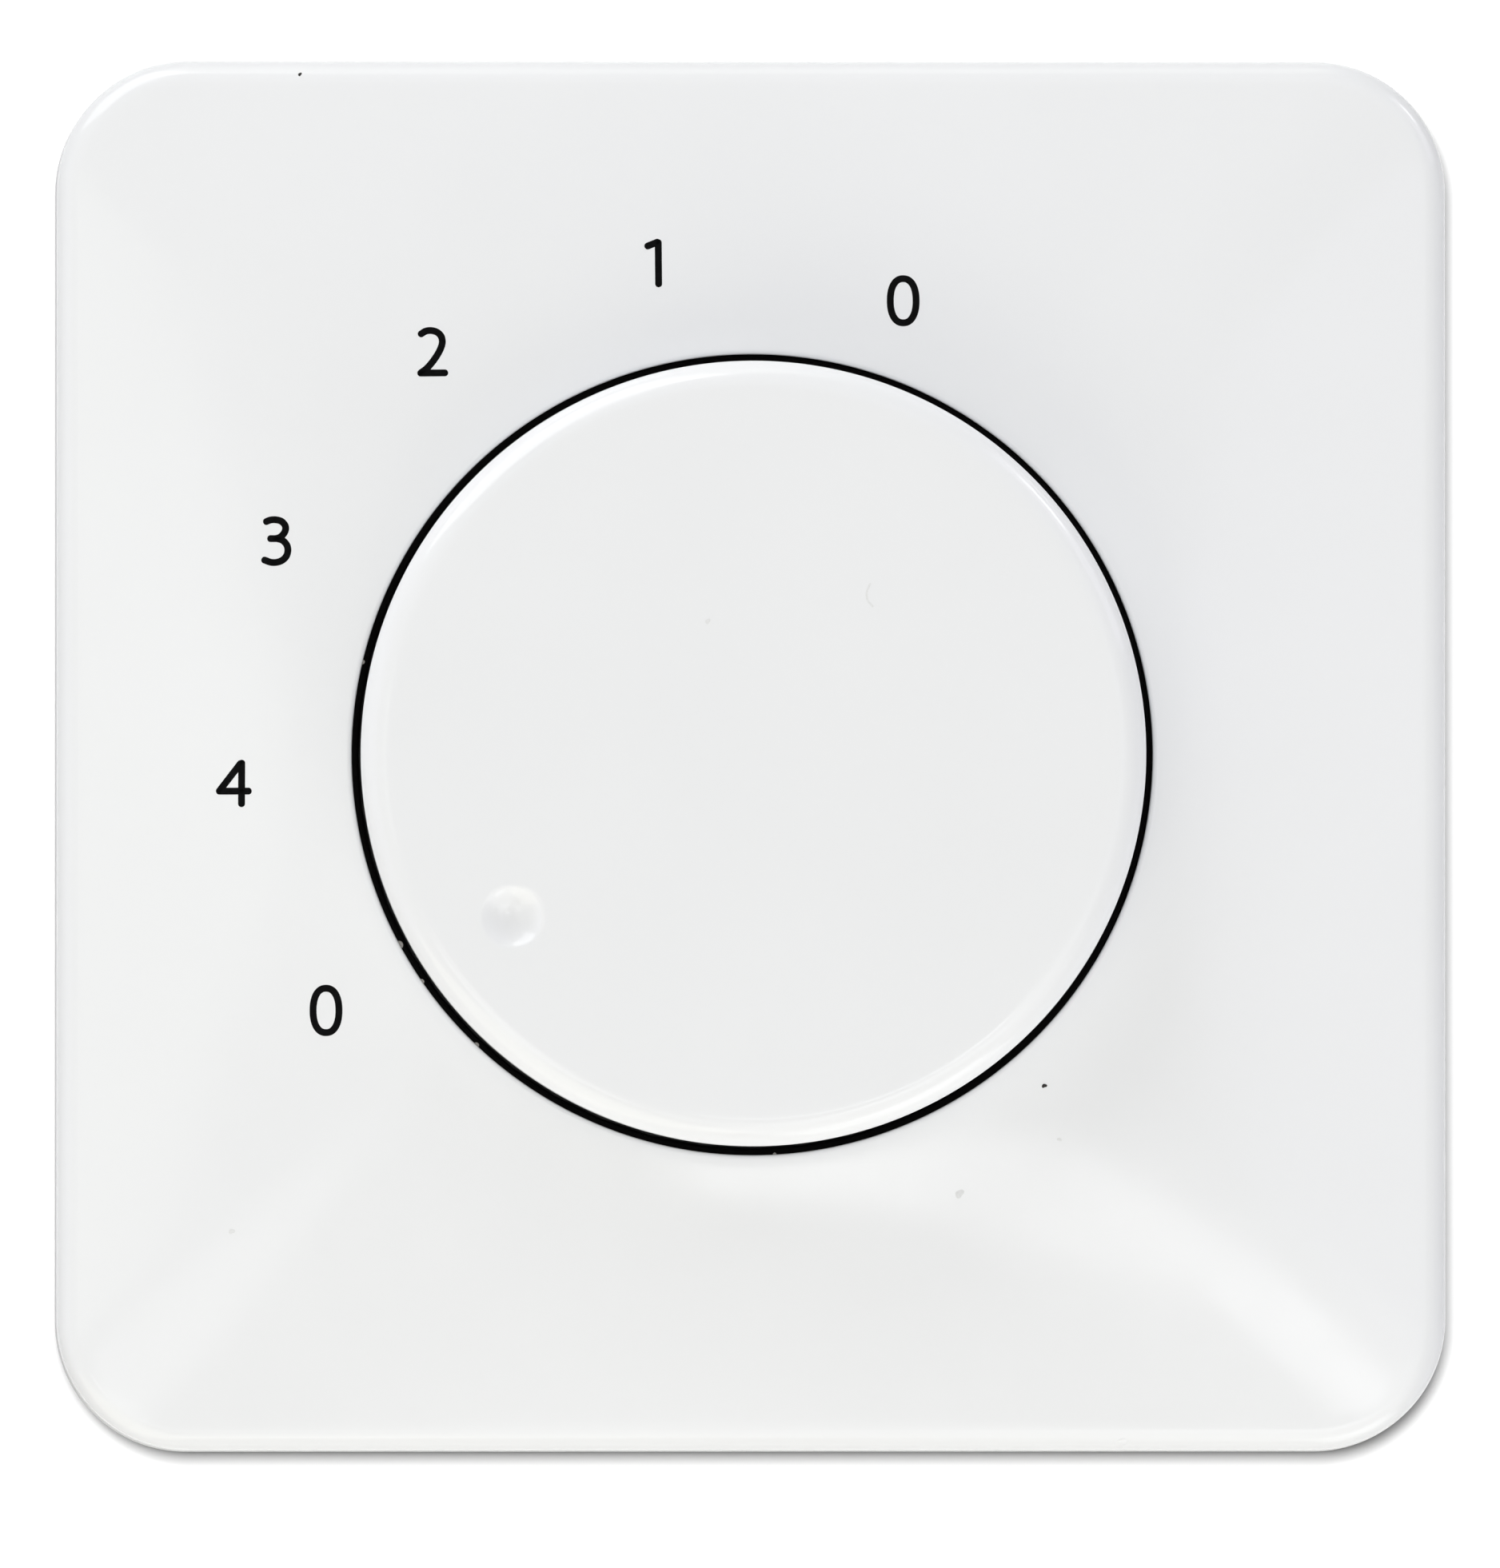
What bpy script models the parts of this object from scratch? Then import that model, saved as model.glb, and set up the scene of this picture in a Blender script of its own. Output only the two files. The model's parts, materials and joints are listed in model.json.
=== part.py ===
"""Fan wall switch: a flush rotary speed switch with a square cover plate and a large knob.

Units are metres. Every piece is modelled in the wall frame: x to the right, y up and z out of
the wall, with the wall surface at z = 0 and the knob's axis on z. One empty stands that frame
upright, so that the finished switch faces -Y with +Z up.
"""

import math

import bmesh
import bpy
from mathutils import Matrix, Vector

# Clearances
SEAT_GAP = 0.0003
RUN_GAP = 0.0005
CUT_OVER = 0.0010

# Knob
KNOB_RADIUS = 0.02243
KNOB_GAP = 0.0005
KNOB_PROUD = 0.0060
KNOB_DOME = 0.0003
KNOB_RIM = 0.0016
KNOB_WALL = 0.0020
KNOB_TOP_WALL = 0.0022
KNOB_RIB_WIDTH = 0.0010
KNOB_RIB_DEPTH = 0.0014
KNOB_RIBS = 3
HUB_RADIUS = 0.0055
HUB_SLIT = 0.0010
CLIP_THICK = 0.0006
CLIP_WIDTH = 0.0012
CLIP_OPENING = math.radians(50)
DIMPLE_ORBIT = 0.0167
DIMPLE_RADIUS = 0.00175
DIMPLE_DEPTH = 0.0007

# Positions of the switch, anticlockwise from +x: the pointer rests at the lower nought
POINTER_ANGLE = math.radians(213)
DETENT_PITCH = math.radians(28)
SPEEDS = 4

# Cover plate
PLATE_SIDE = 0.0800
PLATE_CORNER = 0.0075
FACE_HEIGHT = 0.0105
FACE_DROP = 0.0022
FACE_CURVE = 1.25
PLATE_WALL = 0.0020
PLATE_DRAFT = 0.00015
EDGE_ROUND = 0.0013
WELL_LIP = 0.0003
WELL_WALL = 0.0018
FLANGE_WIDTH = 0.0060
FLANGE_THICK = 0.0015
PLATE_RIB_WIDTH = 0.0012

# Clamp disc, nut, washer and bush
DISC_THICK = 0.0015
NUT_WIDTH = 0.0140
NUT_THICK = 0.0025
NUT_CHAMFER = math.radians(30)
WASHER_RADIUS = 0.0082
WASHER_THICK = 0.0006
WASHER_TEETH = 16
WASHER_TOOTH = 0.0009
BUSH_RADIUS = 0.0050
BUSH_FLANGE_RADIUS = 0.0080
BUSH_FLANGE_THICK = 0.0012
BUSH_END = 0.0003

# Spindle
SPINDLE_RADIUS = 0.0030
SPINDLE_FLAT = 0.0012
SPINDLE_CHAMFER = 0.0004
GROOVE_RADIUS = 0.0022
PIVOT_RADIUS = 0.0022
PIVOT_LENGTH = 0.0040
RETAINER_RADIUS = 0.0048
RETAINER_THICK = 0.0008
RETAINER_OPENING = math.radians(70)

# Steel mounting frame
FRAME_INSET = 0.0045
FRAME_CORNER = 0.0060
FRAME_THICK = 0.0010
FRAME_HOLE_WALL = 0.0032
BOX_SLOT_INSET = 0.0055
BOX_SLOT_WIDTH = 0.0038
BOX_SLOT_SWEEP = math.radians(14)
FRAME_TAB_WIDTH = 0.0120
FRAME_TAB_HEIGHT = 0.0030
FRAME_TAB_INSET = 0.0005
FRAME_HOLE_CORNER_RADIUS = 0.0018
FRAME_HOLE_CORNER_INSET = 0.0065

# Lid and its screws
LID_THICK = 0.0030
LID_SPIGOT_WALL = 0.0030
SCREW_RADIUS = 0.0013
SCREW_HEAD_RADIUS = 0.0026
SCREW_HEAD_THICK = 0.0015
SCREW_LENGTH = 0.0120
SCREW_EDGE = 0.0044

# Every screw has a pan head: shares of its radius and height give its bevel
HEAD_TOP_SHARE = 0.75
HEAD_SIDE_SHARE = 0.60
SCREW_SLOT = 0.0006
SCREW_SLOT_DEPTH = 0.0007
SCREW_SLOT_TURN = math.radians(30)

# Base
BODY_CHAMFER = 0.0100
BODY_DEPTH = 0.0200
CHAMBER_WALL = 0.0015
FLANK_WALL = 0.0021
FLOOR_THICK = 0.0026
CORE_WALL = 0.0016
CORE_INNER = 0.0052
CORE_RIB = math.radians(14)
FLANK_CORE_HALF = 0.0072
FLANK_CORE_ROOF = 0.0045
FLANK_RIB = 0.0014
STOP_SWEEP = math.radians(6)
STOP_MARGIN = math.radians(2)

# Detent
WHEEL_RADIUS = 0.0115
WHEEL_THICK = 0.0035
NOTCH_DEPTH = 0.0011
LUG_REACH = 0.0016
LUG_SWEEP = math.radians(14)
LEAF_THICK = 0.0004
LEAF_WIDTH = 0.0030
LEAF_HALF_LENGTH = 0.0088
LEAF_FREE_HALF = 0.0064
LEAF_STAND_OFF = 0.0015
NOSE_HALF_WIDTH = 0.0026
DETENT_SIDE = math.radians(270)

# Rotor, wiper and contacts
ROTOR_THICK = 0.0030
ROTOR_WEB = 0.0015
ROTOR_HUB_RADIUS = 0.0066
PEG_WIDTH = 0.0012
PEG_LENGTH = 0.0020
PEG_INSET = 0.0027
WIPER_DROP = 0.0022
WIPER_THICK = 0.0005
WIPER_ARM_WIDTH = 0.0026
BUTTON_RADIUS = 0.0010
BUTTON_HEIGHT = 0.0006
COIL_RADIUS = 0.0046
COIL_WIRE_RADIUS = 0.00025
COIL_TURNS = 2.5
PAD_INSET = 0.0018
STRIP_WIDTH = 0.0034
STRIP_THICK = 0.0008
STRIP_ELBOW = 0.92
RING_CONTACT_WIDTH = 0.0024
RING_PAD_GAP = 0.0010

# Terminals
TERMINAL_WIDTH = 0.0050
TERMINAL_DEPTH = 0.0060
TERMINAL_HEIGHT = 0.0095
TERMINAL_PITCH = 0.0066
TERMINAL_BELOW_STRIP = 0.0042
WIRE_RADIUS = 0.0015
WIRE_OUTER_WALL = 0.0018
TONGUE = 0.0008
CLAMP_SCREW_RADIUS = 0.0012
CLAMP_HEAD_RADIUS = 0.0022
CLAMP_HEAD_THICK = 0.0014
CLAMP_SCREW_TOP = 0.0030

# Levels along z, worked out from the wall outwards
frame_front = FRAME_THICK
lid_back = frame_front + SEAT_GAP
lid_front = lid_back + LID_THICK
flange_back = lid_front + SEAT_GAP
flange_front = flange_back + FLANGE_THICK
disc_rim_back = flange_front + SEAT_GAP
disc_rim_front = disc_rim_back + DISC_THICK
disc_back = lid_front + SEAT_GAP
disc_front = disc_back + DISC_THICK
washer_back = disc_front + SEAT_GAP
washer_front = washer_back + WASHER_THICK
nut_back = washer_front + SEAT_GAP
nut_front = nut_back + NUT_THICK
bush_front = nut_front + BUSH_END
knob_top = FACE_HEIGHT + KNOB_PROUD
knob_ceiling = knob_top - KNOB_DOME - KNOB_TOP_WALL
knob_bottom = disc_rim_front + RUN_GAP
hub_bottom = bush_front + RUN_GAP
spindle_front = knob_ceiling - SEAT_GAP

# Levels along z, worked out from the wall inwards
body_front = -SEAT_GAP
body_back = body_front - BODY_DEPTH
bush_flange_front = lid_back - SEAT_GAP
bush_back = bush_flange_front - BUSH_FLANGE_THICK
retainer_front = bush_back - SEAT_GAP
retainer_back = retainer_front - RETAINER_THICK
wheel_front = retainer_back - SEAT_GAP
wheel_back = wheel_front - WHEEL_THICK
rotor_front = wheel_back - SEAT_GAP
rotor_back = rotor_front - ROTOR_THICK
wiper_front = rotor_back - WIPER_DROP
wiper_back = wiper_front - WIPER_THICK
strip_front = wiper_back - BUTTON_HEIGHT - SEAT_GAP
strip_back = strip_front - STRIP_THICK
floor_front = strip_back - SEAT_GAP
floor_back = floor_front - FLOOR_THICK
pivot_front = strip_front + STRIP_THICK
spindle_back = pivot_front - PIVOT_LENGTH
terminal_back = strip_back - TERMINAL_BELOW_STRIP
terminal_front = terminal_back + TERMINAL_HEIGHT
clamp_screw_level = terminal_front - CLAMP_SCREW_TOP
lid_screw_seat = lid_front - SEAT_GAP / 2 - SCREW_HEAD_THICK
lid_screw_tip = lid_screw_seat - SCREW_LENGTH

# Sizes that follow from others
well_radius = KNOB_RADIUS + KNOB_GAP
flange_inner = well_radius - FLANGE_WIDTH
frame_half = PLATE_SIDE / 2 - FRAME_INSET
chamber_radius = WHEEL_RADIUS + LUG_REACH + RUN_GAP
terminal_inner = chamber_radius + CHAMBER_WALL + SEAT_GAP
terminal_outer = terminal_inner + TERMINAL_DEPTH
body_half = terminal_outer + SEAT_GAP + FLANK_WALL
wire_offset = terminal_outer - WIRE_OUTER_WALL - WIRE_RADIUS
screw_orbit = (2 * body_half - BODY_CHAMFER) / math.sqrt(2) - SCREW_EDGE
corner_angles = [math.radians(45 + 90 * k) for k in range(4)]
frame_hole = screw_orbit - FRAME_HOLE_WALL
box_slot_orbit = frame_half - BOX_SLOT_INSET
pad_orbit = WHEEL_RADIUS - PAD_INSET
peg_orbit = WHEEL_RADIUS - PEG_INSET
ring_contact_outer = pad_orbit - STRIP_WIDTH / 2 - RING_PAD_GAP
ring_contact_inner = ring_contact_outer - RING_CONTACT_WIDTH
turn_range = DETENT_PITCH * (SPEEDS + 1)
first_speed_angle = math.pi / 2 - DETENT_PITCH * (SPEEDS - 1) / 2
wiper_angle = first_speed_angle + DETENT_PITCH * SPEEDS
leaf_offset = WHEEL_RADIUS + LEAF_STAND_OFF

# Facets of the cover plate: from the well to the border, along a side and round each bend
FACE_STEPS = 6
UNDER_STEPS = 3
SIDE_STEPS = 7
CORNER_STEPS = 6
ROUND_STEPS = 3

# Facets of the knob
KNOB_STEPS = 60
DOME_STEPS = 4
RIM_STEPS = 5
DIMPLE_STEPS = 32

# Facets round the other turned shapes, holes and arcs
BIG_HOLE_STEPS = 48
CHAMBER_STEPS = 56
ROTOR_STEPS = 40
SPIGOT_STEPS = 32
BUSH_STEPS = 28
BORE_STEPS = 24
LOOP_STEPS = 20
HEAD_STEPS = 16
SMALL_STEPS = 12
NOTCH_STEPS = 8
TIP_STEPS = 8
SHORT_ARC_STEPS = 4


def clear_scene():
    for obj in list(bpy.data.objects):
        bpy.data.objects.remove(obj, do_unlink=True)


def make_collection(name):
    collection = bpy.data.collections.new(name)
    bpy.context.scene.collection.children.link(collection)
    return collection


def make_material(name, colour, roughness, metallic=0.0):
    material = bpy.data.materials.new(name)
    material.use_nodes = True
    shader = material.node_tree.nodes["Principled BSDF"]
    shader.inputs["Base Color"].default_value = (*colour, 1.0)
    shader.inputs["Roughness"].default_value = roughness
    shader.inputs["Metallic"].default_value = metallic
    return material


clear_scene()
parts = make_collection("fan_wall_switch")
cutters = make_collection("cutters")

white_plastic = make_material("white_plastic", (0.84, 0.86, 0.87), 0.22)
black_plastic = make_material("black_plastic", (0.02, 0.02, 0.02), 0.45)
grey_plastic = make_material("grey_plastic", (0.30, 0.31, 0.32), 0.50)
nylon = make_material("natural_nylon", (0.75, 0.72, 0.64), 0.45)
zinc_steel = make_material("zinc_plated_steel", (0.62, 0.64, 0.66), 0.35, 1.0)
spring_steel = make_material("spring_steel", (0.45, 0.46, 0.48), 0.30, 1.0)
brass = make_material("brass", (0.75, 0.56, 0.25), 0.30, 1.0)
bronze = make_material("phosphor_bronze", (0.72, 0.42, 0.24), 0.30, 1.0)


def make_frame(name, parent=None):
    """Adds an empty that carries pieces."""
    empty = bpy.data.objects.new(name, None)
    empty.empty_display_size = PLATE_CORNER
    empty.parent = parent
    parts.objects.link(empty)
    return empty


wall_frame = make_frame("wall_frame")
wall_frame.rotation_euler.x = math.radians(90)
turning_frame = make_frame("turning_frame", wall_frame)


def add_piece(name, data, material, parent=wall_frame):
    """Adds a finished piece to the switch."""
    piece = bpy.data.objects.new(name, data)
    piece.parent = parent
    data.materials.append(material)
    parts.objects.link(piece)
    return piece


def add_cutter(name, data):
    """Adds a shape that only cuts or joins a piece."""
    cutter = bpy.data.objects.new(name, data)
    cutter.parent = wall_frame
    cutter.hide_render = True
    cutter.display_type = "WIRE"
    cutters.objects.link(cutter)
    return cutter


def combine(piece, other, operation):
    modifier = piece.modifiers.new(f"{operation.lower()} {other.name}", "BOOLEAN")
    modifier.operation = operation
    modifier.object = other


def cut(piece, *others):
    for other in others:
        combine(piece, other, "DIFFERENCE")


def join(piece, *others):
    for other in others:
        combine(piece, other, "UNION")


def polar(radius, angle):
    return (radius * math.cos(angle), radius * math.sin(angle))


def arc(centre, radius, start, end, steps):
    """Points of an arc, both ends included."""
    angles = [start + (end - start) * k / steps for k in range(steps + 1)]
    return [(centre[0] + radius * math.cos(a), centre[1] + radius * math.sin(a)) for a in angles]


def circle(radius, steps, centre=(0, 0)):
    return arc(centre, radius, 0, 2 * math.pi, steps)[:-1]


def turned_mesh(name, profile, closed):
    """A profile of (radius, z) points in the XZ plane, for a Screw modifier."""
    mesh = bpy.data.meshes.new(name)
    points = [(r, 0, z) for r, z in profile]
    edges = [(k, k + 1) for k in range(len(points) - 1)]
    if closed:
        edges.append((len(points) - 1, 0))
    mesh.from_pydata(points, edges, [])
    return mesh


def spin(piece, steps):
    """Turns the piece's profile round z."""
    screw = piece.modifiers.new("turn", "SCREW")
    screw.axis = "Z"
    screw.steps = steps
    screw.render_steps = steps
    screw.use_merge_vertices = True
    screw.merge_threshold = 0.00001


def turned(name, profile, steps, material, parent=wall_frame, closed=True):
    """A turned piece: its profile runs down the outer side, and closed means clear of the axis."""
    piece = add_piece(name, turned_mesh(name, profile, closed), material, parent)
    spin(piece, steps)
    return piece


def turned_cutter(name, profile, steps, closed=True):
    cutter = add_cutter(name, turned_mesh(name, profile, closed))
    spin(cutter, steps)
    return cutter


def outline_mesh(name, loops, low, high):
    """The mesh of a flat shape between two levels; loops inside the first are its holes."""
    curve = bpy.data.curves.new(name, "CURVE")
    curve.dimensions = "2D"
    curve.fill_mode = "BOTH"
    curve.extrude = (high - low) / 2
    for loop in loops:
        spline = curve.splines.new("POLY")
        spline.points.add(len(loop) - 1)
        for point, (x, y) in zip(spline.points, loop):
            point.co = (x, y, 0, 1)
        spline.use_cyclic_u = True
    guide = bpy.data.objects.new(name, curve)
    cutters.objects.link(guide)
    graph = bpy.context.evaluated_depsgraph_get()
    mesh = bpy.data.meshes.new_from_object(guide.evaluated_get(graph))
    bpy.data.objects.remove(guide)
    bpy.data.curves.remove(curve)
    weld(mesh, Matrix.Translation((0, 0, (low + high) / 2)))
    mesh.name = name
    return mesh


def weld(mesh, matrix):
    """Joins a curve's loose caps to its sides and puts the shape in place."""
    shape = bmesh.new()
    shape.from_mesh(mesh)
    bmesh.ops.remove_doubles(shape, verts=shape.verts, dist=0.000001)
    bmesh.ops.recalc_face_normals(shape, faces=shape.faces)
    bmesh.ops.transform(shape, matrix=matrix, verts=shape.verts)
    shape.to_mesh(mesh)
    shape.free()


def flat(name, loops, low, high, material, parent=wall_frame):
    return add_piece(name, outline_mesh(name, loops, low, high), material, parent)


def flat_cutter(name, loops, low, high):
    return add_cutter(name, outline_mesh(name, loops, low, high))


def box_matrix(low, high, turn=0.0):
    """Places a unit cube between two corners, then turns it round z."""
    size = [b - a for a, b in zip(low, high)]
    middle = [(a + b) / 2 for a, b in zip(low, high)]
    return Matrix.Rotation(turn, 4, "Z") @ Matrix.Translation(middle) @ Matrix.Diagonal((*size, 1))


def mesh_of(name, build):
    """A mesh filled by a function that adds primitives to a bmesh."""
    mesh = bpy.data.meshes.new(name)
    shape = bmesh.new()
    build(shape)
    shape.to_mesh(mesh)
    shape.free()
    return mesh


def boxes_mesh(name, boxes):
    """Boxes given as (low corner, high corner, turn round z)."""

    def build(shape):
        for low, high, turn in boxes:
            bmesh.ops.create_cube(shape, size=1, matrix=box_matrix(low, high, turn))

    return mesh_of(name, build)


def rods_mesh(name, rods, steps):
    """Upright cylinders given as (x, y, radius, low, high)."""

    def build(shape):
        for x, y, radius, low, high in rods:
            bmesh.ops.create_cone(
                shape,
                cap_ends=True,
                segments=steps,
                radius1=radius,
                radius2=radius,
                depth=high - low,
                matrix=Matrix.Translation((x, y, (low + high) / 2)),
            )

    return mesh_of(name, build)


def finished(piece):
    """The piece's mesh with its modifiers applied, for pieces that have copies."""
    graph = bpy.context.evaluated_depsgraph_get()
    mesh = bpy.data.meshes.new_from_object(piece.evaluated_get(graph))
    piece.modifiers.clear()
    piece.data = mesh
    return mesh


def rounded_square(half, corner, side_steps=SIDE_STEPS):
    """Points of a rounded square, as many for every size, so that two of them can be lofted."""
    straight = half - corner
    points = []
    for quarter in range(4):
        side = [(half, -straight + 2 * straight * k / side_steps) for k in range(side_steps)]
        bend = arc((straight, straight), corner, 0, math.pi / 2, CORNER_STEPS)[:-1]
        turn = Matrix.Rotation(math.pi / 2 * quarter, 2)
        points += [tuple(turn @ Vector(p)) for p in side + bend]
    return points


def d_loop():
    """The bore that takes the spindle: a circle with one flat, which faces the way of the pointer."""
    radius = SPINDLE_RADIUS + SEAT_GAP
    chord = SPINDLE_RADIUS - SPINDLE_FLAT + SEAT_GAP
    half = math.acos(chord / radius)
    start = POINTER_ANGLE + half
    return arc((0, 0), radius, start, start + 2 * (math.pi - half), LOOP_STEPS)


def c_loop(inner, outer, opening, facing):
    """A flat open ring with its opening facing one way."""
    start = facing + opening / 2
    end = facing + 2 * math.pi - opening / 2
    outside = arc((0, 0), outer, start, end, LOOP_STEPS)
    return outside + arc((0, 0), inner, end, start, LOOP_STEPS)


def ring_with_arm(outer, half_width, reach, facing):
    """The outline of a round washer with one arm, whose tip is round."""
    root = math.asin(half_width / outer)
    ring = arc((0, 0), outer, facing + root, facing + 2 * math.pi - root, BORE_STEPS)
    left = facing + math.pi / 2
    tip = arc(polar(reach, facing), half_width, facing - math.pi / 2, left, TIP_STEPS)
    return ring + tip


def strip_outline(path, half_width):
    """The outline of a strip of even width along a path, mitred at its bends."""
    left = []
    right = []
    for k, (x, y) in enumerate(path):
        before = path[max(k - 1, 0)]
        after = path[min(k + 1, len(path) - 1)]
        angles = [
            math.atan2(b[1] - a[1], b[0] - a[0])
            for a, b in ((before, (x, y)), ((x, y), after))
            if a != b
        ]
        heading = sum(angles) / len(angles)
        bend = (angles[-1] - angles[0]) / 2
        dx, dy = polar(half_width / math.cos(bend), heading + math.pi / 2)
        left.append((x + dx, y + dy))
        right.append((x - dx, y - dy))
    return right + left[::-1]


def octagon(half, chamfer):
    """The outline of the switch body: a square with its corners cut off."""
    short = half - chamfer
    corners = [(half, -short), (half, short), (short, half), (-short, half)]
    return corners + [(-x, -y) for x, y in corners]


# Cover plate: a loft from the round well to the square border, as one closed moulded wall
def face_level(share):
    """Height of the face at a share of the way from the well to the border."""
    return FACE_HEIGHT - FACE_DROP * share**FACE_CURVE


def cover_rings():
    """Rings of the cover plate's wall: over the face, down the side and back along the inside."""
    side_half = PLATE_SIDE / 2
    face_half = side_half - PLATE_DRAFT - EDGE_ROUND
    face_corner = PLATE_CORNER - EDGE_ROUND
    border = rounded_square(face_half, face_corner)
    angles = [math.atan2(y, x) for x, y in border]

    def round_ring(radius, z):
        return [(*polar(radius, a), z) for a in angles]

    def square_ring(half, corner, z):
        return [(x, y, z) for x, y in rounded_square(half, corner)]

    def lofted_ring(radius, square, share, z):
        ring = round_ring(radius, z)
        return [
            (a[0] + (b[0] - a[0]) * share, a[1] + (b[1] - a[1]) * share, z)
            for a, b in zip(ring, square)
        ]

    rings = []
    for k in range(ROUND_STEPS):
        angle = math.pi / 2 * k / ROUND_STEPS
        drop = WELL_LIP * (1 - math.sin(angle))
        rings.append(round_ring(well_radius + WELL_LIP * (1 - math.cos(angle)), FACE_HEIGHT - drop))
    for k in range(FACE_STEPS + 1):
        share = k / FACE_STEPS
        rings.append(lofted_ring(well_radius + WELL_LIP, border, share, face_level(share)))
    for k in range(1, ROUND_STEPS + 1):
        angle = math.pi / 2 * k / ROUND_STEPS
        out = EDGE_ROUND * math.sin(angle)
        drop = EDGE_ROUND * (1 - math.cos(angle))
        rings.append(square_ring(face_half + out, face_corner + out, face_level(1) - drop))
    inner_half = side_half - PLATE_WALL
    inner_corner = PLATE_CORNER - PLATE_WALL
    rings.append(square_ring(side_half, PLATE_CORNER, 0))
    rings.append(square_ring(inner_half, inner_corner, 0))
    under = rounded_square(inner_half - PLATE_DRAFT, inner_corner)
    well_outer = well_radius + WELL_WALL
    for k in range(UNDER_STEPS, -1, -1):
        share = k / UNDER_STEPS
        rings.append(lofted_ring(well_outer, under, share, face_level(share) - PLATE_WALL))
    rings.append(round_ring(well_outer, flange_back))
    rings.append(round_ring(flange_inner, flange_back))
    rings.append(round_ring(flange_inner, flange_front))
    rings.append(round_ring(well_radius, flange_front))
    return rings


def closed_loft(name, rings):
    """A mesh through rings of as many points each, closed both ways."""
    mesh = bpy.data.meshes.new(name)
    count = len(rings[0])
    total = len(rings)
    points = [point for ring in rings for point in ring]
    faces = []
    for i in range(total):
        for j in range(count):
            a = i * count + j
            b = i * count + (j + 1) % count
            c = (i + 1) % total * count + (j + 1) % count
            d = (i + 1) % total * count + j
            faces.append((a, d, c, b))
    mesh.from_pydata(points, [], faces)
    mesh.shade_smooth()
    mesh.set_sharp_from_angle(angle=math.radians(35))
    return mesh


def make_cover_plate():
    """The lofted wall with four ribs behind its face, from the well out to the corners."""
    cover = add_piece("cover_plate", closed_loft("cover_plate", cover_rings()), white_plastic)
    start = well_radius + WELL_WALL / 2
    end = (PLATE_SIDE / 2 - PLATE_CORNER) * math.sqrt(2) + PLATE_CORNER - PLATE_WALL
    profile = [(start, flange_back), (end, flange_back)]
    for k in range(UNDER_STEPS, -1, -1):
        share = k / UNDER_STEPS
        profile.append((start + (end - start) * share, face_level(share) - PLATE_WALL / 2))
    half = PLATE_RIB_WIDTH / 2
    for k, angle in enumerate(corner_angles):
        rib = flat_cutter(f"plate_rib_{k}", [profile], -half, half)
        rib.rotation_euler = (math.pi / 2, 0, angle)
        join(cover, rib)


def make_knob():
    """A shallow cup with a split hub, cross ribs under its top and the pointer dimple."""
    flat_radius = KNOB_RADIUS - KNOB_RIM
    shares = [k / DOME_STEPS for k in range(DOME_STEPS)]
    dome = [(flat_radius * share, knob_top - KNOB_DOME * share**2) for share in shares]
    rim_level = knob_top - KNOB_DOME - KNOB_RIM
    rim = arc((flat_radius, rim_level), KNOB_RIM, math.pi / 2, 0, RIM_STEPS)
    inner = KNOB_RADIUS - KNOB_WALL
    below = [
        (KNOB_RADIUS, knob_bottom),
        (inner, knob_bottom),
        (inner, knob_ceiling),
        (HUB_RADIUS, knob_ceiling),
        (HUB_RADIUS, hub_bottom),
        (0, hub_bottom),
    ]
    profile = dome + rim + below
    knob = turned("knob", profile, KNOB_STEPS, white_plastic, turning_frame, closed=False)
    reach = inner + KNOB_WALL / 2
    ribs = [
        (
            (-reach, -KNOB_RIB_WIDTH / 2, knob_ceiling - KNOB_RIB_DEPTH),
            (reach, KNOB_RIB_WIDTH / 2, knob_ceiling + KNOB_TOP_WALL / 2),
            math.pi * k / KNOB_RIBS,
        )
        for k in range(KNOB_RIBS)
    ]
    for k, rib in enumerate(ribs):
        join(knob, add_cutter(f"knob_rib_{k}", boxes_mesh("knob_rib", [rib])))
    cut(knob, flat_cutter("knob_bore", [d_loop()], hub_bottom - CUT_OVER, knob_ceiling))
    slit_length = HUB_RADIUS + CUT_OVER
    slit = (
        (-slit_length, -HUB_SLIT / 2, hub_bottom - CUT_OVER),
        (slit_length, HUB_SLIT / 2, knob_ceiling - KNOB_RIB_DEPTH - SEAT_GAP),
        POINTER_ANGLE + math.pi / 2,
    )
    cut(knob, add_cutter("hub_slit", boxes_mesh("hub_slit", [slit])))
    ball_radius = (DIMPLE_RADIUS**2 + DIMPLE_DEPTH**2) / (2 * DIMPLE_DEPTH)
    face = knob_top - KNOB_DOME * (DIMPLE_ORBIT / flat_radius) ** 2
    x, y = polar(DIMPLE_ORBIT, POINTER_ANGLE)
    place = Matrix.Translation((x, y, face + ball_radius - DIMPLE_DEPTH))

    def ball(shape):
        bmesh.ops.create_uvsphere(
            shape,
            u_segments=DIMPLE_STEPS,
            v_segments=DIMPLE_STEPS * 3 // 4,
            radius=ball_radius,
            matrix=place,
        )

    cut(knob, add_cutter("pointer_dimple", mesh_of("pointer_dimple", ball)))


def make_knob_spring_ring():
    inner = HUB_RADIUS + SEAT_GAP
    loop = c_loop(inner, inner + CLIP_THICK, CLIP_OPENING, POINTER_ANGLE)
    low = hub_bottom + SEAT_GAP
    flat("knob_spring_ring", [loop], low, low + CLIP_WIDTH, spring_steel, turning_frame)


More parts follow.
